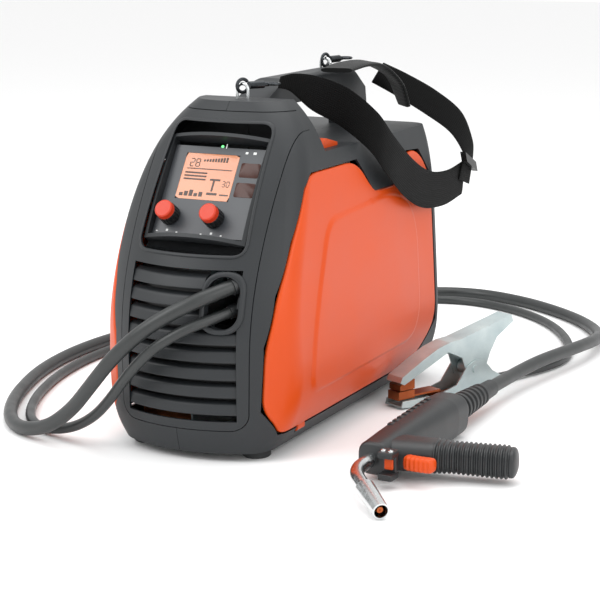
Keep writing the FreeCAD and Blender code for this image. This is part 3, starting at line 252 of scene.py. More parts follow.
def side_normal(depth, z):
    """Outward direction of the side surface, from its slopes by depth and by height."""
    step = 0.5
    by_depth = (side_at(depth + step, z) - side_at(depth - step, z)) / (2 * step)
    by_height = (side_at(depth, z + step) - side_at(depth, z - step)) / (2 * step)
    n = np.stack([np.ones_like(by_depth), -by_depth, -by_height], -1)
    return n / np.linalg.norm(n, axis=-1, keepdims=True)


# ---------------------------------------------------------------- materials

def linear(code):
    """An sRGB hex colour as linear red, green, blue and alpha."""
    c = np.array([int(code[i:i + 2], 16) for i in (1, 3, 5)]) / 255
    c = np.where(c <= 0.04045, c / 12.92, ((c + 0.055) / 1.055) ** 2.4)
    return (*c.tolist(), 1.0)


def add(tree, kind, inputs=(), **settings):
    """Add a node: settings are its properties, inputs give each socket a value or an output to link."""
    node = tree.nodes.new("ShaderNode" + kind)
    for key, value in settings.items():
        setattr(node, key, value)
    for key, value in dict(inputs).items():
        if isinstance(value, bpy.types.NodeSocket):
            tree.links.new(value, node.inputs[key])
        else:
            node.inputs[key].default_value = value
    return node


def start_material(name, **sockets):
    """A material with a principled shader whose constants stand on its own sockets."""
    material = bpy.data.materials.new(name)
    material.use_nodes = True
    tree = material.node_tree
    tree.nodes.clear()
    shader = add(tree, "BsdfPrincipled", sockets)
    output = add(tree, "OutputMaterial", {"Surface": shader.outputs["BSDF"]})
    return material, tree, shader, output


def two_tone(tree, factor, dark, light):
    """A colour that goes from dark to light with a factor."""
    mix = add(tree, "Mix", data_type="RGBA")
    tree.links.new(factor, mix.inputs[0])
    mix.inputs[6].default_value = linear(dark)
    mix.inputs[7].default_value = linear(light)
    return mix.outputs[2]


def spread(tree, value, low, high):
    """A noise value, near 0.3 to 0.7, stretched to run from low to high."""
    return add(tree, "MapRange", {"Value": value, "From Min": 0.3, "From Max": 0.7,
                                  "To Min": low, "To Max": high}).outputs["Result"]


def moulded_abs(name, dark, light, rough, grain_mm=1.6, relief=0.25, coat=0.0, gloss=0.5):
    """Injection-moulded ABS. Its spark-eroded grain breaks up the sheen, and flow marks
    shift colour and gloss a little over hand-sized areas."""
    material, tree, shader, _ = start_material(name, **{
        "IOR": 1.53, "Coat Weight": coat, "Coat Roughness": 0.12, "Specular IOR Level": gloss})
    here = add(tree, "TexCoord").outputs["Object"]
    grain = add(tree, "TexNoise", {"Vector": here, "Scale": 1000 / grain_mm, "Detail": 2.0})
    flow = add(tree, "TexNoise", {"Vector": here, "Scale": 14.0, "Detail": 3.0})
    tree.links.new(two_tone(tree, flow.outputs["Fac"], dark, light), shader.inputs["Base Color"])
    tree.links.new(spread(tree, flow.outputs["Fac"], rough - 0.04, rough + 0.04), shader.inputs["Roughness"])
    bump = add(tree, "Bump", {"Height": grain.outputs["Fac"], "Strength": relief, "Distance": 0.0003})
    tree.links.new(bump.outputs["Normal"], shader.inputs["Normal"])
    return material


def plated_metal(name, dark, light, rough, streak=(1, 1, 1), relief=0.1):
    """Plated or bare metal. Rolling or polishing leaves fine streaks one way, and the plating
    clouds the colour and gloss."""
    material, tree, shader, _ = start_material(name, Metallic=1.0)
    here = add(tree, "TexCoord").outputs["Object"]
    turned = add(tree, "Mapping", {"Vector": here, "Scale": streak})
    lines = add(tree, "TexNoise", {"Vector": turned.outputs["Vector"], "Scale": 350.0, "Detail": 3.0})
    cloud = add(tree, "TexNoise", {"Vector": here, "Scale": 45.0, "Detail": 4.0})
    tree.links.new(two_tone(tree, cloud.outputs["Fac"], dark, light), shader.inputs["Base Color"])
    sheen = spread(tree, lines.outputs["Fac"], rough - 0.06, rough + 0.08)
    tree.links.new(sheen, shader.inputs["Roughness"])
    bump = add(tree, "Bump", {"Height": lines.outputs["Fac"], "Strength": relief, "Distance": 0.0002})
    tree.links.new(bump.outputs["Normal"], shader.inputs["Normal"])
    return material


def woven(name, dark, light, rib_mm, sheen=0.25, along=1.0):
    """Woven polyester. Warp ribs run along the band and weft crosses them; the threads are drawn
    coarser than the real 0.6 mm so that they show."""
    material, tree, shader, _ = start_material(name, **{
        "Roughness": 0.78, "Sheen Weight": sheen, "Sheen Roughness": 0.5, "Specular IOR Level": 0.15})
    here = add(tree, "UVMap", uv_map="thread_map").outputs["UV"]
    scale = 2 * math.pi / (20 * rib_mm)
    warp = add(tree, "TexWave", {"Vector": here, "Scale": scale}, bands_direction="X")
    weft = add(tree, "TexWave", {"Vector": here, "Scale": scale * along, "Distortion": 0.6},
               bands_direction="Y")
    weave = add(tree, "Math", {0: warp.outputs["Fac"], 1: weft.outputs["Fac"]}, operation="MULTIPLY")
    tree.links.new(two_tone(tree, weave.outputs["Value"], dark, light), shader.inputs["Base Color"])
    bump = add(tree, "Bump", {"Height": weave.outputs["Value"], "Strength": 0.6, "Distance": 0.0006})
    tree.links.new(bump.outputs["Normal"], shader.inputs["Normal"])
    return material


def rubber_jacket(name, dark, light, rough):
    """Extruded cable rubber. It has a satin skin with a dusty, slightly uneven sheen."""
    material, tree, shader, _ = start_material(name, **{"IOR": 1.5})
    here = add(tree, "TexCoord").outputs["Object"]
    dust = add(tree, "TexNoise", {"Vector": here, "Scale": 60.0, "Detail": 5.0})
    skin = add(tree, "TexNoise", {"Vector": here, "Scale": 900.0, "Detail": 2.0})
    tree.links.new(two_tone(tree, dust.outputs["Fac"], dark, light), shader.inputs["Base Color"])
    tree.links.new(spread(tree, dust.outputs["Fac"], rough - 0.06, rough + 0.06), shader.inputs["Roughness"])
    bump = add(tree, "Bump", {"Height": skin.outputs["Fac"], "Strength": 0.15, "Distance": 0.0002})
    tree.links.new(bump.outputs["Normal"], shader.inputs["Normal"])
    return material


def lit_film(name, dark, light, strength):
    """Back-lit display film behind polycarbonate. It glows evenly with a faint fall-off."""
    material, tree, shader, _ = start_material(name, **{"Roughness": 0.18, "Emission Strength": strength,
                                                        "Coat Weight": 0.6, "Coat Roughness": 0.04})
    here = add(tree, "TexCoord").outputs["Object"]
    glow = add(tree, "TexNoise", {"Vector": here, "Scale": 18.0, "Detail": 1.0})
    colour = two_tone(tree, glow.outputs["Fac"], dark, light)
    tree.links.new(colour, shader.inputs["Base Color"])
    tree.links.new(colour, shader.inputs["Emission Color"])
    return material


MATERIALS = {}


def make_materials(colours):
    """Every finish on the machine, by name."""
    MATERIALS.update({
        "charcoal_abs": moulded_abs("charcoal_abs", "#1B1E20", colours.charcoal, 0.5, gloss=0.4),
        "recess_abs": moulded_abs("recess_abs", "#0D0E0F", "#131415", 0.42),
        "panel_film": moulded_abs("panel_film", "#33363A", "#3D4044", 0.42, relief=0.08),
        "gloss_strip": moulded_abs("gloss_strip", "#0C0D0E", "#121314", 0.14, relief=0.02, coat=0.5),
        "orange_abs": moulded_abs("orange_abs", "#C44206", colours.orange, 0.38, relief=0.08, gloss=0.3),
        "cap_orange": moulded_abs("cap_orange", "#B22A0E", "#C23616", 0.34, relief=0.05, gloss=0.35),
        "knob_black": moulded_abs("knob_black", "#0C0C0D", "#151617", 0.36, relief=0.1),
        "torch_black": moulded_abs("torch_black", "#17191A", "#202325", 0.44, relief=0.3),
        "amber_film": lit_film("amber_film", "#A8603A", "#BE7C50", 0.25),
        "segment_brown": moulded_abs("segment_brown", "#2E1B10", "#3B2416", 0.4, relief=0.02),
        "white_ink": moulded_abs("white_ink", "#D8DAD8", "#ECEEEC", 0.5, relief=0.02),
        "green_lamp": lit_film("green_lamp", "#3FD060", "#7BF090", 2.0),
        "red_window": moulded_abs("red_window", "#2E140C", "#4A2012", 0.3, relief=0.02, gloss=0.3),
        "nickel_plate": plated_metal("nickel_plate", "#BFC3C4", "#E6E8E8", 0.2),
        "dark_nickel": plated_metal("dark_nickel", "#2A2C2E", "#4A4D50", 0.3),
        "zinc_plate": plated_metal("zinc_plate", "#A9B8BB", "#D3DCDB", 0.52, (1, 1, 6)),
        "bare_copper": plated_metal("bare_copper", "#8E4426", "#C06C42", 0.38, relief=0.3),
        "turned_brass": plated_metal("turned_brass", "#A88645", "#CDAA66", 0.3),
        "bare_aluminium": plated_metal("bare_aluminium", "#A9ACAE", "#C6C8CA", 0.4),
        "cable_rubber": rubber_jacket("cable_rubber", "#222424", colours.cable, 0.4),
        "relief_rubber": rubber_jacket("relief_rubber", "#1A1C1D", "#242728", 0.48),
        "foot_rubber": rubber_jacket("foot_rubber", "#17181A", "#242628", 0.6),
        "band_weave": woven("band_weave", "#030303", "#0B0C0C", 2.6, 0.02),
        "pad_weave": woven("pad_weave", "#101111", "#1E2020", 3.2, 0.1, 0.6),
        "board_lacquer": moulded_abs("board_lacquer", "#15452A", "#1E5A38", 0.35, relief=0.05),
        "copper_wire": plated_metal("copper_wire", "#9A5230", "#C87A50", 0.35, (1, 8, 1)),
    })


def dress(piece, name):
    """Put a finish on a piece or on a CAD node, in place of what it had."""
    piece.data.materials.clear()
    piece.data.materials.append(MATERIALS[name])
    return piece


def finish(piece, material, body, stands_for=()):
    """Dress a piece, let it ride on its body and say which CAD nodes it shows."""
    dress(piece, material)
    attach(piece, body)
    if stands_for:
        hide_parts(*stands_for)
    return piece


# ---------------------------------------------------------------- covers and door

COVER_OUTLINE = [(42, 28)] + [(27 + float(front_depth(np.float64(z))) + max(0, z - 100) * 0.1, z)
                              for z in (54, 120, 170, 220, 270)]
COVER_OUTLINE += [(COVER_OUTLINE[-1][0] + 18, 284), (232, 284), (262, 246), (338, 246), (364, 278),
                  (400, 276), (424, 244), (424, 72), (372, 28)]
COVER_EASE = [6, 12, 20, 20, 20, 10, 16, 26, 22, 22, 20, 20, 20, 20, 24]
RAISED_OUTLINE = [(84, 62), (92, 110), (112, 168), (140, 231), (180, 234), (302, 238), (352, 226),
                  (372, 190), (372, 92), (352, 64)]


def cover(name, side, relief):
    """A casing cover: rings shrink from its outline to one point on the side surface, the middle is
    raised by a relief behind an eased step, the rim is rounded, and the back is offset inwards."""
    outline = even_loop(round_corners(COVER_OUTLINE, COVER_EASE), 300)
    outline = outline + (np.array([225.0, 150.0]) - outline) * 0.004
    heart = np.array([272.0, 150.0])
    shares = np.concatenate([np.linspace(0.02, 0.94, 96), np.linspace(0.945, 1, 14)])
    flat = heart + (outline[None] - heart) * shares[:, None, None]
    depth, z = flat[..., 0], flat[..., 1]
    edge = inside_distance(flat.reshape(-1, 2), outline).reshape(depth.shape)
    lift = inside_distance(flat.reshape(-1, 2), even_loop(round_corners(RAISED_OUTLINE, 24), 160))
    lift = relief * ease(lift.reshape(depth.shape) / 5 + 0.5)
    radius = 3.0
    fall = radius - np.sqrt(np.maximum(0, radius ** 2 - np.clip(radius - edge, 0, radius) ** 2))
    n = side_normal(depth, z)
    base = np.stack([side_at(depth, z), depth, z], -1)
    face = base + n * (lift - fall)[..., None]
    back = base - n * 3.2
    layers = np.concatenate([face, back[::-1]])
    layers[..., 0] *= side
    tip_front, tip_back = layers[0].mean(0), layers[-1].mean(0)
    rows, columns = layers.shape[:2]
    points = np.concatenate([layers.reshape(-1, 3), tip_front[None], tip_back[None]])
    faces = grid_faces(rows, columns, round_columns=True)
    ring = np.arange(columns)
    hub = rows * columns
    faces += np.stack([ring, (ring + 1) % columns, np.full(columns, hub)], -1).tolist()
    last = (rows - 1) * columns
    faces += np.stack([last + (ring + 1) % columns, last + ring, np.full(columns, hub + 1)], -1).tolist()
    points = metres(points[:, 0], points[:, 1], points[:, 2])
    return put_mesh(name, points, outward(points, faces), None, 50)


def door_lugs():
    """The door's two hinge lugs: eyes round the hinge line with a tail up into the door."""
    lugs = []
    for depth in (87, 345):
        loop = even_loop(round_corners([(92.4, 23.3), (98.6, 23.3), (98.6, 38), (94.6, 38)], 2.6), 40)
        spots = np.linspace(depth - 8, depth + 8, 5)
        lugs.append(closed_bar("lug", metres(loop[None, :, 0], spots[:, None], loop[None, :, 1])))
    return joined("door_hinge_lugs", lugs)


# ---------------------------------------------------------------- front: louvres, rims, fascia

def louvre(number, clear_left=None):
    """One louvre: a rounded, tilted blade carried along the bow of the front."""
    low = 194 - 18 - 18 * number
    blade = even_loop(round_corners([(0.4, 0), (2.4, 11.6), (10.5, 14.0), (9.5, 4.5)], [2, 2, 1, 1]), 36)
    x = np.linspace(-61.5, 61.5, 75)
    if clear_left is not None:
        x = np.linspace(*clear_left, 50)
    z = low + blade[None, :, 1]
    depth = front_at(x[:, None], z) + blade[None, :, 0] + 0.4
    return closed_bar("blade", metres(x[:, None], depth, z), None, 30)


def bead(name, outline, radius, depth_of, lift=0.0, squeeze=1.0):
    """A rounded bead along an outline on the front: a circle carried round it, flattened by squeeze."""
    loop = even_loop(outline, 160)
    way = np.roll(loop, -1, 0) - np.roll(loop, 1, 0)
    way /= np.linalg.norm(way, axis=1)[:, None]
    across = np.stack([way[:, 1], -way[:, 0]], -1)
    t = np.linspace(0, 2 * math.pi, 14, endpoint=False)
    x = loop[:, :1] + across[:, :1] * radius * np.cos(t)
    z = loop[:, 1:] + across[:, 1:] * radius * np.cos(t)
    depth = depth_of(x, z) - lift - radius * squeeze * np.sin(t)
    return ring_loop(name, metres(x, depth, z))


def grille_shade_sheet():
    """Painted shade: a dark curved sheet behind the louvres that stands in for the shadow inside the grille,
    in two panels that leave the port clear.
    """
    panels = []
    for x0, x1, z0, z1 in ((-61, 24, 47, 192), (24.2, 61, 47, 128)):
        x = np.linspace(x0, x1, 40)
        loop = even_loop(round_corners([(15.5, z0), (17, z0), (17, z1), (15.5, z1)], 0.3), 60)
        z = np.broadcast_to(loop[None, :, 1], (40, 60))
        panels.append(closed_bar("panel", metres(x[:, None], front_at(x[:, None], z) + loop[None, :, 0], z)))
    return joined("grille_shade_sheet", panels)


FASCIA_TILT = math.atan(0.65)
KNOB_UP = 20
FASCIA_DEPTH = float(front_depth(np.float64(222.0))) + 22


def on_fascia(x, up, out):
    """A point given across, up the sloping fascia and out from it."""
    depth = FASCIA_DEPTH + up * math.sin(FASCIA_TILT) - out * math.cos(FASCIA_TILT)
    return metres(x, depth, 222 + up * math.cos(FASCIA_TILT) + out * math.sin(FASCIA_TILT))


def tile(name, x0, x1, up0, up1, out0, out1, radius=0.8):
    """A thin rounded tile on the fascia: its eased outline carried straight out, with a dropped rim."""
    loop = even_loop(round_corners([(x0, up0), (x1, up0), (x1, up1), (x0, up1)], radius), 40)
    middle = loop.mean(0)
    layers = np.array([out0, out1 - 0.1, out1])
    shrink = np.array([1, 1, 0.985])
    p = middle + (loop[None] - middle) * shrink[:, None, None]
    return closed_bar(name, on_fascia(p[..., 0], p[..., 1], np.repeat(layers[:, None], 40, 1)))


def knob_body(name, x):
    """A fluted knob: a lathe profile whose radius ripples with eighteen flutes below its cap."""
    profile = np.array([(0.5, 4.0), (0.5, 10.0), (1.2, 10.5), (12.5, 10.2), (13.2, 9.6), (13.2, 3)])
    t = np.linspace(0, 2 * math.pi, 144, endpoint=False)
    ripple = 1 + 0.028 * np.cos(18 * t)[None] * (profile[:, 1:] > 9)
    r = profile[:, 1:] * ripple
    rise = np.repeat(profile[:, :1], 144, 1)
    return closed_bar(name, on_fascia(x + r * np.cos(t), KNOB_UP + r * np.sin(t), rise))


def knob_cap(name, x):
    """A knob's bright cap: a low turned button with a rounded edge and a shallow dish."""
    edge = np.linspace(0, math.pi / 2, 7)
    profile = np.vstack([[(12.9, 5)], [(12.9, 9.9)], [(17.6, 9.7)],
                         np.stack([17.6 + 2.0 * np.sin(edge), 7.7 + 2.0 * np.cos(edge)], -1),
                         [(19.2, 5.0)], [(19.0, 0.5)]])
    t = np.linspace(0, 2 * math.pi, 64, endpoint=False)
    r = profile[:, 1:]
    rise = np.repeat(profile[:, :1], 64, 1)
    return closed_bar(name, on_fascia(x + r * np.cos(t), KNOB_UP + r * np.sin(t), rise))


def sill_strip():
    """A glossy strip that slopes from the window's sill back to the fascia's foot."""
    x = np.linspace(-54, 54, 60)[:, None]
    share = np.concatenate([np.linspace(0, 1, 12), np.linspace(1, 0, 12)])[None]
    under = np.concatenate([np.zeros(12), np.full(12, 1.5)])[None]
    start = front_at(x, 209.5) + 4
    depth = start + (FASCIA_DEPTH + 1 - start) * share
    return closed_bar("sill_strip", metres(x, depth, 209.5 + 12.5 * share ** 1.4 - under))


DIGIT_BARS = {"2": "abged", "3": "abgcd", "0": "abcdef", "8": "abcdefg"}
BAR_PLACES = {"a": (0, 10, 1), "b": (5, 5, 0), "c": (5, 0, 0), "d": (0, 0, 1), "e": (0, 0, 0),
              "f": (0, 5, 0), "g": (0, 5, 1)}


def digit(symbol, x, up, size, out):
    """A plain seven-bar number, each bar a thin tile."""
    pieces = []
    for bar in DIGIT_BARS[symbol]:
        across, rise, flat = BAR_PLACES[bar]
        x0, u0 = x + across * size, up + rise * size
        if flat:
            box = (x0 + 0.6 * size, x0 + 4.9 * size, u0 - 0.45 * size, u0 + 0.45 * size)
        else:
            box = (x0 - 0.2 * size, x0 + 0.8 * size, u0 + 0.5 * size, u0 + 4.5 * size)
        pieces.append(tile("bar", *box, out, out + 0.25, 0.25))
    return pieces


def display_marks():
    """Dark segments on the amber film: numbers, level bars and plain outlines."""
    out = 0.25
    marks = digit("2", -32, 77, 0.85, out) + digit("8", -25.5, 77, 0.85, out)
    marks += digit("3", 11, 56, 0.6, out) + digit("0", 16, 56, 0.6, out)
    marks += [tile("bar", -17 + 3.2 * k, -15 + 3.2 * k, 83, 85 + 0.45 * k, out, out + 0.25, 0.3)
              for k in range(9)]
    marks += [tile("bar", -35, 19, 74.0, 74.9, out, out + 0.25, 0.2)]
    marks += [tile("bar", -35, -9, 69 - 3.6 * k, 70.6 - 3.6 * k, out, out + 0.25, 0.3) for k in range(3)]
    marks += [tile("bar", -35 + 5.6 * k, -31 + 5.6 * k, 43.5, 47 + 1.7 * (k % 3), out, out + 0.25, 0.3)
              for k in range(5)]
    for x0, x1, up0, up1, radius in ((-4, 8, 62, 64, 0.3), (0, 2, 50, 62, 0.3), (11, 21, 46, 47.4, 0.3),
                                     (-4, 8, 46, 48.5, 0.4)):
        marks.append(tile("bar", x0, x1, up0, up1, out, out + 0.25, radius))
    return joined("display_segments", marks)


def panel_marks():
    """Small plain white marks printed round the controls."""
    marks = []
    for x in (-37, 14):
        marks += [tile("mark", x - 12.5, x - 10.5, 2, 3.2, 0, 0.2, 0.3),
                  tile("mark", x + 10.5, x + 12.5, 2, 3.2, 0, 0.2, 0.3),
                  tile("mark", x - 1.2, x + 1.2, 3, 5.4, 0, 0.2, 0.5)]
    marks += [tile("mark", 28, 31, 94, 96.5, 0, 0.2, 0.4), tile("mark", 37, 40.6, 94, 96.6, 0, 0.2, 0.4),
              tile("mark", 4, 5, 99, 104, 0, 0.2, 0.3)]
    return joined("panel_marks", marks)


# ---------------------------------------------------------------- torch, on its side on the floor

TORCH_TURN = math.radians(-92.1)


def on_torch(u, v, w):
    """A point along the torch, across it towards the grip, and up."""
    c, s = math.cos(TORCH_TURN), math.sin(TORCH_TURN)
    return metres(213 + u * c - v * s, 213 + u * s + v * c, 23.5 + w)


def torch_barrel():
    """The barrel: rounded-square rings that taper to the neck, with the ends eased."""
    along = np.array([0.0, 30, 60, 105, 150, 178, 190])
    sizes = [(22, 22), (23, 23), (22, 22.5), (19.5, 20.5), (18, 18.5), (16.5, 17), (16.2, 16.6)]
    spots, full = rounded_ends(along, sizes, 4)
    return closed_bar("torch_barrel", bar_in(on_torch, spots, full[:, 0], full[:, 1], power=3.0), None, 40)


def torch_crest():
    """A comb of short teeth along the barrel's upper edge."""
    teeth = []
    for k in range(9):
        spots, full = rounded_ends(np.array([36.0 + 11 * k, 43.5 + 11 * k]), [(3.2, 2.6), (3.2, 2.6)], 1)
        spots, full = spots[::6], full[::6]
        rise = 21.4 - k * 0.5
        grid = bar_in(on_torch, spots, full[:, 0], full[:, 1], -9 + 0 * spots, rise + 0 * spots, 4, 20)
        teeth.append(closed_bar("tooth", grid))
    return joined("torch_crest", teeth)


def torch_grip():
    """The pistol grip: superellipse rings down its slope, rippled by sixteen shallow ribs."""
    share = np.linspace(0, 1, 260)
    wide = np.interp(share, [0, 0.3, 0.48, 0.9, 1], [25, 22, 16.5, 17, 15])
    tall = np.interp(share, [0, 0.3, 0.48, 0.9, 1], [16, 15.4, 14.4, 15.2, 13.5])
    rib = 0.9 * np.clip(np.sin((share - 0.34) / 0.6 * 2 * math.pi * 16) * 1.6, -1, 1)
    rib *= (share > 0.34) & (share < 0.94)
    close = np.sqrt(np.clip(1 - (np.clip(share - 0.96, 0, 1) / 0.0401) ** 2, 0.04, 1))
    u = 157.7 + (129.2 - 157.7) * share
    v = 8 + 120 * share
    way = np.array([-28.5, 120.0]) / np.hypot(28.5, 120)
    across = np.array([way[1], -way[0]])
    c, s = superellipse(44, 2.8)
    reach = ((wide + rib) * close)[:, None] * c
    points = on_torch(u[:, None] + across[0] * reach, v[:, None] + across[1] * reach,
                      (-2 * share)[:, None] + ((tall + rib * 0.8) * close)[:, None] * s)
    return closed_bar("torch_grip", points, None, 34)


def torch_trigger():
    """The trigger: a curved rounded blade with a serrated front face."""
    share = np.linspace(0, 1, 90)
    v = 30.5 + 33 * share
    serration = 0.5 * np.sin(share * 2 * math.pi * 7) * ((share > 0.1) & (share < 0.9))
    mid = 182.2 + 1.5 * np.sin(share * math.pi)
    c, s = superellipse(32, 3.5)
    eased = np.sqrt(np.clip(1 - (np.abs(share - 0.5) * 2) ** 10, 0.05, 1))
    reach = (6.6 * eased + np.clip(serration, -0.4, 0.5))[:, None] * c
    return closed_bar("trigger_blade", on_torch(mid[:, None] + reach, np.repeat(v[:, None], 32, 1),
                                                (7.3 * eased)[:, None] * s), None, 34)


def torch_block(name, u0, u1, v0, v1, w0, w1, corner=1.6):
    """A small moulded block on the torch: a rounded rectangle carried across the torch's width."""
    outline = np.array(round_corners([(u0, v0), (u1, v0), (u1, v1), (u0, v1)], corner, 5))
    across = np.array([w0, w0 + 0.8, w1 - 0.8, w1])
    inset = np.array([0.6, 0.0, 0.0, 0.6])
    middle = outline.mean(0)
    way = middle - outline
    way /= np.linalg.norm(way, axis=1)[:, None]
    flat = outline[None, :, :] + way[None, :, :] * inset[:, None, None]
    level = np.repeat(across[:, None], len(outline), 1)
    return closed_bar(name, on_torch(flat[..., 0], flat[..., 1], level), None, 40)


def neck_clamp():
    """The bracket that holds the neck: two cheeks joined by a front bar."""
    return joined("neck_clamp", [torch_block("cheek", 190.4, 208, 14, 29, 8, 14),
                                 torch_block("cheek", 190.4, 208, 14, 29, -14, -8),
                                 torch_block("bar", 190.8, 197, 14.5, 28.5, -12, 12)])


def clamp_screws():
    """The bracket's two round-headed screws, each a short lathe turned about the torch's up way."""
    t = np.linspace(0, 2 * math.pi, 28, endpoint=False)
    radius = np.array([2.6, 2.6, 2.3, 1.2, 1.0])[:, None]
    rise = np.array([0.0, 1.0, 1.7, 2.0, 1.4])[:, None]
    heads = []
    for v in (17.6, 25.4):
        heads.append(closed_bar("screw", on_torch(202 + radius * np.cos(t), v + radius * np.sin(t),
                                                  13.8 + rise * np.ones(28)), None, 30))
    return joined("clamp_screws", heads)


def relief_sleeve():
    """The bend relief: a lathe profile of seven raised collars on a tapering sleeve."""
    along = np.linspace(0, 112, 240)
    base = np.interp(along, [0, 112], [12.6, 9.6])
    phase = (along - 8) % 11.2
    collar = ease(phase / 1.2) * ease((7.4 - phase) / 1.2) * ((along > 8) & (along < 86))
    radius = base + collar * np.interp(along, [8, 86], [3.4, 1.6])
    t = np.linspace(0, 2 * math.pi, 40, endpoint=False)
    places = on_torch(np.repeat(-along[:, None], 40, 1), radius[:, None] * np.cos(t),
                      radius[:, None] * np.sin(t))
    return closed_bar("relief_sleeve", places, None, 30)


# ---------------------------------------------------------------- strap

def band(name, stations, thick, rows, edge_mm=46):
    """Webbing: stations of centre, half width and face direction, drawn out by a smooth curve and given
    a thickness with eased edges; the thread map runs in millimetres across and along."""
    flat = smooth_line([[*centre, *across, *normal] for centre, across, normal in stations], rows)
    centre, across, normal = flat[:, :3], flat[:, 3:6], flat[:, 6:]
    way = np.gradient(centre, axis=0)
    normal = np.cross(way, across)
    normal /= np.linalg.norm(normal, axis=1)[:, None]
    sign = np.sign((normal * flat[:, 6:]).sum(1))[:, None]
    normal = normal * sign
    s = np.concatenate([np.linspace(-1, 1, 17), np.linspace(1, -1, 17)])
    side = np.concatenate([np.ones(17), -np.ones(17)])
    half = thick / 2 * np.sqrt(np.clip(1 - np.abs(s) ** 8, 0.15, 1)) * side
    points = centre[:, None] + across[:, None] * s[None, :, None] + normal[:, None] * half[None, :, None]
    length = np.concatenate([[0], np.cumsum(np.linalg.norm(np.diff(centre, axis=0), axis=1))])
    u = np.broadcast_to(s * edge_mm / 2, points.shape[:2])
    v = np.broadcast_to(length[:, None], points.shape[:2])
    uv = np.stack([u, v], -1).reshape(-1, 2)
    piece = closed_bar(name, metres(points[..., 0], points[..., 1], points[..., 2]), uv, 60)
    return piece, float(length[-1])


FRONT_BAND = [
    ((20, 196, 366), (1, 1, 6), (-1, 0, 0.2)), ((28, 213, 364), (2, 1, 10), (-1, 0, 0.2)),
    ((44, 232, 352), (3, 2, 18), (-1, 0, 0.2)), ((71, 248, 337), (5, -2, 21), (-1, 0, 0.3)),
    ((103, 254, 312), (2, 4, 21), (-1, 0, 0.1)), ((114, 276, 284), (0, 9, 20), (-1, 0, 0)),
    ((116, 322, 254), (0, 10, 20), (-1, 0, 0)), ((117, 372, 234), (0, 9, 20), (-1, 0, 0)),
    ((118, 430, 228), (0, 5, 20), (-1, 0, 0)), ((118, 487, 233), (0, 4, 20), (-1, 0, 0))]
REAR_BAND = [
    ((120.6, 484, 228), (0, 17, -5), (-1, 0, 0)), ((120.6, 496, 257), (0, 17, 1), (-1, 0, 0)),
    ((115, 507, 270), (0, 15, 7), (-1, 0, 0)), ((99, 508, 296), (2, 13, 11), (-1, 0, 0.15)),
    ((76, 486, 320), (3, 10, 13), (-1, 0, 0.23)), ((50, 458, 342), (4, 9, 12), (-1, 0, 0.33)),
    ((30, 432, 358), (4, 8, 11), (-1, 0, 0.36))]
PAD_LINE = [
    ((38, 300, 371), (17, 4, 0), (0, 0, 1)), ((38, 345, 374), (20, 6, 0), (0, 0, 1)),
    ((44, 388, 371), (20, -8, -2), (0.1, 0, 1)), ((58, 416, 352), (17, -14, -4), (0.6, 0.5, 1)),
    ((66, 428, 322), (13, -15, 0), (1, 0.8, 0.2))]

# ---------------------------------------------------------------- cords

TORCH_ROUTE = [
    (51, 27, 179), (40, 12, 174), (18, -8, 163.5), (-17, -23, 142), (-53, -28, 110), (-85, -23, 74),
    (-114, -14, 43), (-150, -7, 17.5), (-192, 6, 7.5), (-226, 34, 7.5), (-262, 90, 7.5), (-292, 158, 7.5),
    (-316, 232, 7.5), (-328, 312, 7.5), (-326, 392, 7.5), (-310, 470, 7.5), (-282, 552, 7.5),
    (-240, 634, 7.5), (-192, 712, 7.5), (-134, 786, 7.5), (-72, 846, 7.5), (-2, 870, 7.5),
    (74, 846, 7.5), (136, 806, 7.5), (186, 762, 7.5), (224, 708, 9), (246, 646, 15), (248, 584, 21),
    (240, 522, 24), (229, 460, 25.5), (220, 395, 23.5), (217.1, 324.9, 23.5)]
EARTH_ROUTE = [
    (49, 25, 153), (39, 9, 149), (18, -12, 140), (-11, -23, 121), (-43, -19, 90), (-71, -8, 58),
    (-100, 4, 31.5), (-135, 13, 13), (-176, 23, 5.5), (-208, 46, 5.5), (-240, 96, 5.5),
    (-268, 160, 5.5), (-290, 236, 5.5), (-300, 316, 5.5), (-296, 396, 5.5), (-280, 470, 5.5),
    (-254, 544, 5.5), (-216, 618, 5.5), (-170, 690, 5.5), (-118, 756, 5.5), (-60, 806, 5.5),
    (4, 824, 5.5), (70, 802, 5.5), (124, 764, 5.5), (166, 716, 5.5), (200, 658, 5.5), (222, 600, 5.5),
    (228, 550, 5.5), (219, 505, 6), (203.3, 463.3, 7.5), (183.7, 419.5, 7.5)]


def cord_curve(name, route, diameter_mm):
    """A round cord on one smooth spline through the given run of control points."""
    curve = bpy.data.curves.new(name, "CURVE")
    curve.dimensions = "3D"
    curve.bevel_depth = diameter_mm / 2000
    curve.bevel_resolution = 8
    curve.resolution_u = 10
    curve.use_fill_caps = True
    spline = curve.splines.new("NURBS")
    spline.points.add(len(route) - 1)
    for point, (x, depth, z) in zip(spline.points, route):
        point.co = (x / 1000, (depth - MIDDLE) / 1000, z / 1000, 1)
    spline.order_u = 3
    spline.use_endpoint_u = True
    spline.use_smooth = True
    piece = bpy.data.objects.new(name, curve)
    bpy.context.scene.collection.objects.link(piece)
    return piece


# ---------------------------------------------------------------- add-on

class WelderSizes(bpy.types.PropertyGroup):
    """Sizes a user might change."""

    door_relief: bpy.props.FloatProperty(
        name="Door relief", description="How far the door's middle panel stands out",
        default=0.0022, min=0.0, max=0.006, unit="LENGTH", subtype="DISTANCE")
    rim_bead: bpy.props.FloatProperty(
        name="Window bead", description="Radius of the bead round the control window",
        default=0.0016, min=0.0005, max=0.004, unit="LENGTH", subtype="DISTANCE")
    lamp_height: bpy.props.FloatProperty(
        name="Lamp height", description="Height of the main soft lamp over the floor",
        default=1.9, min=0.8, max=4.0, unit="LENGTH", subtype="DISTANCE")


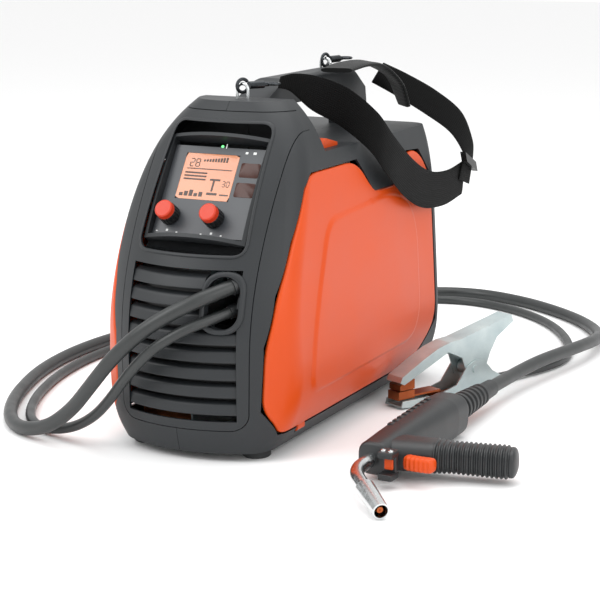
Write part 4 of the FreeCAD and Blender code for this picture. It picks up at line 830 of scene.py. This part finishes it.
class WelderColours(bpy.types.PropertyGroup):
    """Colours a user might change, as sRGB hex codes."""

    orange: bpy.props.StringProperty(
        name="Cover colour", description="Lighter tone of the orange covers", default="#D04A0A")
    charcoal: bpy.props.StringProperty(
        name="Casing colour", description="Lighter tone of the casing", default="#24272A")
    cable: bpy.props.StringProperty(
        name="Cable colour", description="Lighter tone of the cables", default="#303333")


class WELDER_OT_finishes(bpy.types.Operator):
    """Make every material and dress the CAD nodes that show as they are"""

    bl_idname = "welder.finishes"
    bl_label = "Finishes"

    def execute(self, context):
        make_materials(context.scene.welder_colours)
        dressed = {
            "charcoal_abs": ("housing_left", "housing_right", "front_panel", "rear_panel", "handle"),
            "recess_abs": ("switch_frame", "power_switch", "fan_frame", "fan_rotor", "feeder_plate",
                           "mains_gland"),
            "panel_film": ("control_fascia",),
            "orange_abs": ("door_latch",),
            "knob_black": ("tension_knob", "spool_nut", "spool_spindle", "wire_spool", "strap_slider"),
            "torch_black": ("torch_handle", "cable_sockets"),
            "foot_rubber": ("feet",),
            "nickel_plate": ("strap_eyelets", "hook_bolt_front", "hook_bolt_rear", "hinge_pins",
                             "housing_screws", "swan_neck", "gas_nozzle"),
            "dark_nickel": ("snap_hooks",),
            "zinc_plate": ("clamp_lower_jaw", "clamp_upper_jaw", "clamp_pivot", "clamp_spring", "base_tray",
                           "inner_wall", "drive_roll", "pressure_roll", "pressure_arm", "feed_motor"),
            "bare_copper": ("contact_tip", "clamp_contact_upper", "clamp_contact_lower"),
            "turned_brass": ("gas_inlet",),
            "bare_aluminium": ("heatsink",),
            "board_lacquer": ("control_board",),
            "copper_wire": ("transformer",),
        }
        for material, names in dressed.items():
            for name in names:
                dress(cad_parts[name], material)
        return {"FINISHED"}


class WELDER_OT_covers(bpy.types.Operator):
    """Build the left cover and the wire door"""

    bl_idname = "welder.covers"
    bl_label = "Covers and door"

    def execute(self, context):
        relief = context.scene.welder_sizes.door_relief * 1000
        door = cover("door_shell", 1, relief)
        finish(door, "orange_abs", "side_door", ["side_door"])
        finish(door_lugs(), "orange_abs", "side_door")
        left = cover("left_cover_shell", -1, relief)
        finish(left, "orange_abs", "machine", ["side_cover_left"])
        return {"FINISHED"}


class WELDER_OT_front(bpy.types.Operator):
    """Build the louvres, the beads round the window and port, and the controls"""

    bl_idname = "welder.front"
    bl_label = "Front"

    def execute(self, context):
        blades = []
        for number in range(8):
            blades.append(louvre(number, (-61.5, 26.5) if number in (0, 1, 2) else None))
        blades.append(louvre(1, (60.0, 61.5)))
        louvres = joined("grille_louvres", blades)
        finish(louvres, "charcoal_abs", "machine", ["grille_slats"])
        # painted shade: a dark sheet behind the louvres stands in for the shadow inside the grille
        finish(grille_shade_sheet(), "recess_abs", "machine")
        finish(sill_strip(), "gloss_strip", "machine")
        window = round_corners([(-62, 208), (62, 208), (57, 333), (-57, 333)], 14, 10)
        rim = bead("window_bead", window, context.scene.welder_sizes.rim_bead * 1000, front_at)
        finish(rim, "charcoal_abs", "machine")
        port = round_corners([(28.5, 136), (65.5, 136), (65.5, 192), (28.5, 192)], 18.4, 12)
        finish(bead("port_bead", port, 2.6, front_at, 0.6), "charcoal_abs", "machine")
        film = tile("amber_display", -38.8, 22.8, 40.2, 91.8, -0.2, 0.2, 2)
        finish(film, "amber_film", "machine", ["display_lens"])
        finish(display_marks(), "segment_brown", "machine")
        finish(panel_marks(), "white_ink", "machine")
        lamp = tile("run_lamp", -1.4, 1.4, 99.5, 102.3, 0, 0.5, 1.3)
        finish(lamp, "green_lamp", "machine")
        windows = joined("icon_windows", [tile("icon", 27, 49, 68, 84, 0, 0.3, 1.5),
                                          tile("icon", 27, 49, 46, 62, 0, 0.3, 1.5)])
        finish(windows, "red_window", "machine")
        for side, x in (("left", -37), ("right", 14)):
            body = f"knob_{side}"
            finish(knob_body(f"knob_grip_{side}", x), "knob_black", body, [body])
            finish(knob_cap(f"knob_cap_{side}", x), "cap_orange", body)
        return {"FINISHED"}


class WELDER_OT_torch(bpy.types.Operator):
    """Build the torch's barrel, grip, trigger and bend relief"""

    bl_idname = "welder.torch"
    bl_label = "Torch"

    def execute(self, context):
        finish(torch_barrel(), "torch_black", "machine", ["torch_handle"])
        finish(torch_crest(), "torch_black", "machine")
        finish(torch_grip(), "torch_black", "machine")
        finish(torch_trigger(), "orange_abs", "torch_trigger", ["torch_trigger"])
        finish(neck_clamp(), "torch_black", "machine", ["trigger_guard"])
        finish(clamp_screws(), "nickel_plate", "machine")
        tab = torch_block("lock_tab", 196.2, 198.6, 17, 26, -5, 5, 0.9)
        finish(tab, "orange_abs", "machine")
        finish(relief_sleeve(), "relief_rubber", "machine", ["bend_relief"])
        return {"FINISHED"}


class WELDER_OT_strap(bpy.types.Operator):
    """Build the strap's two bands and its shoulder pad"""

    bl_idname = "welder.strap"
    bl_label = "Strap"

    def execute(self, context):
        front, front_long = band("strap_band_front", FRONT_BAND, 2.2, 150)
        finish(front, "band_weave", "machine", ["strap_front"])
        rear, rear_long = band("strap_band_rear", REAR_BAND, 2.2, 110)
        finish(rear, "band_weave", "machine", ["strap_rear"])
        pad, _ = band("shoulder_pad_cover", PAD_LINE, 5, 80)
        finish(pad, "pad_weave", "machine", ["shoulder_pad"])
        return {"FINISHED"}


class WELDER_OT_cords(bpy.types.Operator):
    """Lay the torch cable and the earth cable"""

    bl_idname = "welder.cords"
    bl_label = "Cables"

    def execute(self, context):
        torch = cord_curve("torch_cord", TORCH_ROUTE, 15)
        finish(torch, "cable_rubber", "machine", ["torch_cable"])
        tuple(metres(*TORCH_ROUTE[0]).tolist())
        earth = cord_curve("earth_cord", EARTH_ROUTE, 11)
        finish(earth, "cable_rubber", "machine", ["earth_cable"])
        tuple(metres(*EARTH_ROUTE[0]).tolist())
        return {"FINISHED"}


class WELDER_OT_stage(bpy.types.Operator):
    """Set up the floor, the soft lamps and the camera"""

    bl_idname = "welder.stage"
    bl_label = "Stage"

    def execute(self, context):
        scene = context.scene
        floor = bpy.data.meshes.new("studio_floor")
        floor.from_pydata([(-9, -9, 0), (9, -9, 0), (9, 9, 0), (-9, 9, 0)], [], [(0, 1, 2, 3)])
        ground = bpy.data.objects.new("studio_floor", floor)
        scene.collection.objects.link(ground)
        paper = {"Base Color": linear("#F7F7F7"), "Roughness": 0.9}
        material, _, _, _ = start_material("studio_paper", **paper)
        ground.data.materials.append(material)
        world = bpy.data.worlds.new("studio_air")
        world.use_nodes = True
        world.node_tree.nodes["Background"].inputs["Color"].default_value = (1, 1, 1, 1)
        world.node_tree.nodes["Background"].inputs["Strength"].default_value = 1.0
        scene.world = world
        height = scene.welder_sizes.lamp_height
        lamps = (("key_lamp", (-1.2, -1.6, height), 1.6, 30), ("fill_lamp", (1.9, -0.9, 1.1), 1.4, 12),
                 ("top_lamp", (0.2, 0.3, height + 0.2), 1.8, 22))
        for name, place, size, power in lamps:
            light = bpy.data.lights.new(name, "AREA")
            light.size = size
            light.energy = power
            lamp = bpy.data.objects.new(name, light)
            lamp.location = place
            lamp.rotation_euler = (Vector((0, 0, 0.15)) - Vector(place)).to_track_quat("-Z", "Y").to_euler()
            scene.collection.objects.link(lamp)
        camera = bpy.data.objects.new("camera", bpy.data.cameras.new("camera"))
        camera.data.lens = 108
        camera.data.sensor_width = 36
        camera.location = (0.87643, -1.73607, 0.54290)
        turn, dip = math.radians(25.998), math.radians(12.197)
        aim = Vector((-math.sin(turn) * math.cos(dip), math.cos(turn) * math.cos(dip), -math.sin(dip)))
        camera.rotation_euler = aim.to_track_quat("-Z", "Y").to_euler()
        scene.collection.objects.link(camera)
        scene.camera = camera
        scene.view_settings.view_transform = "Standard"
        return {"FINISHED"}


class WELDER_PT_panel(bpy.types.Panel):
    """Sidebar panel that lists the build steps"""

    bl_label = "Wire welding machine"
    bl_idname = "WELDER_PT_panel"
    bl_space_type = "VIEW_3D"
    bl_region_type = "UI"
    bl_category = "Welder"

    def draw(self, context):
        for step in STEPS:
            self.layout.operator(step.bl_idname)
        for group in (context.scene.welder_sizes, context.scene.welder_colours):
            for key in group.bl_rna.properties.keys():
                if key not in ("rna_type", "name"):
                    self.layout.prop(group, key)


STEPS = (WELDER_OT_finishes, WELDER_OT_stage, WELDER_OT_covers, WELDER_OT_front, WELDER_OT_torch,
         WELDER_OT_strap, WELDER_OT_cords)
CLASSES = (WelderSizes, WelderColours, *STEPS, WELDER_PT_panel)


def register():
    for item in CLASSES:
        bpy.utils.register_class(item)
    bpy.types.Scene.welder_sizes = bpy.props.PointerProperty(type=WelderSizes)
    bpy.types.Scene.welder_colours = bpy.props.PointerProperty(type=WelderColours)


def unregister():
    del bpy.types.Scene.welder_sizes
    del bpy.types.Scene.welder_colours
    for item in reversed(CLASSES):
        bpy.utils.unregister_class(item)


def main():
    """Build everything."""
    register()
    for step in STEPS:
        group, action = step.bl_idname.split(".")
        getattr(getattr(bpy.ops, group), action)()
    bpy.context.view_layer.update()


if __name__ == "__main__":
    main()
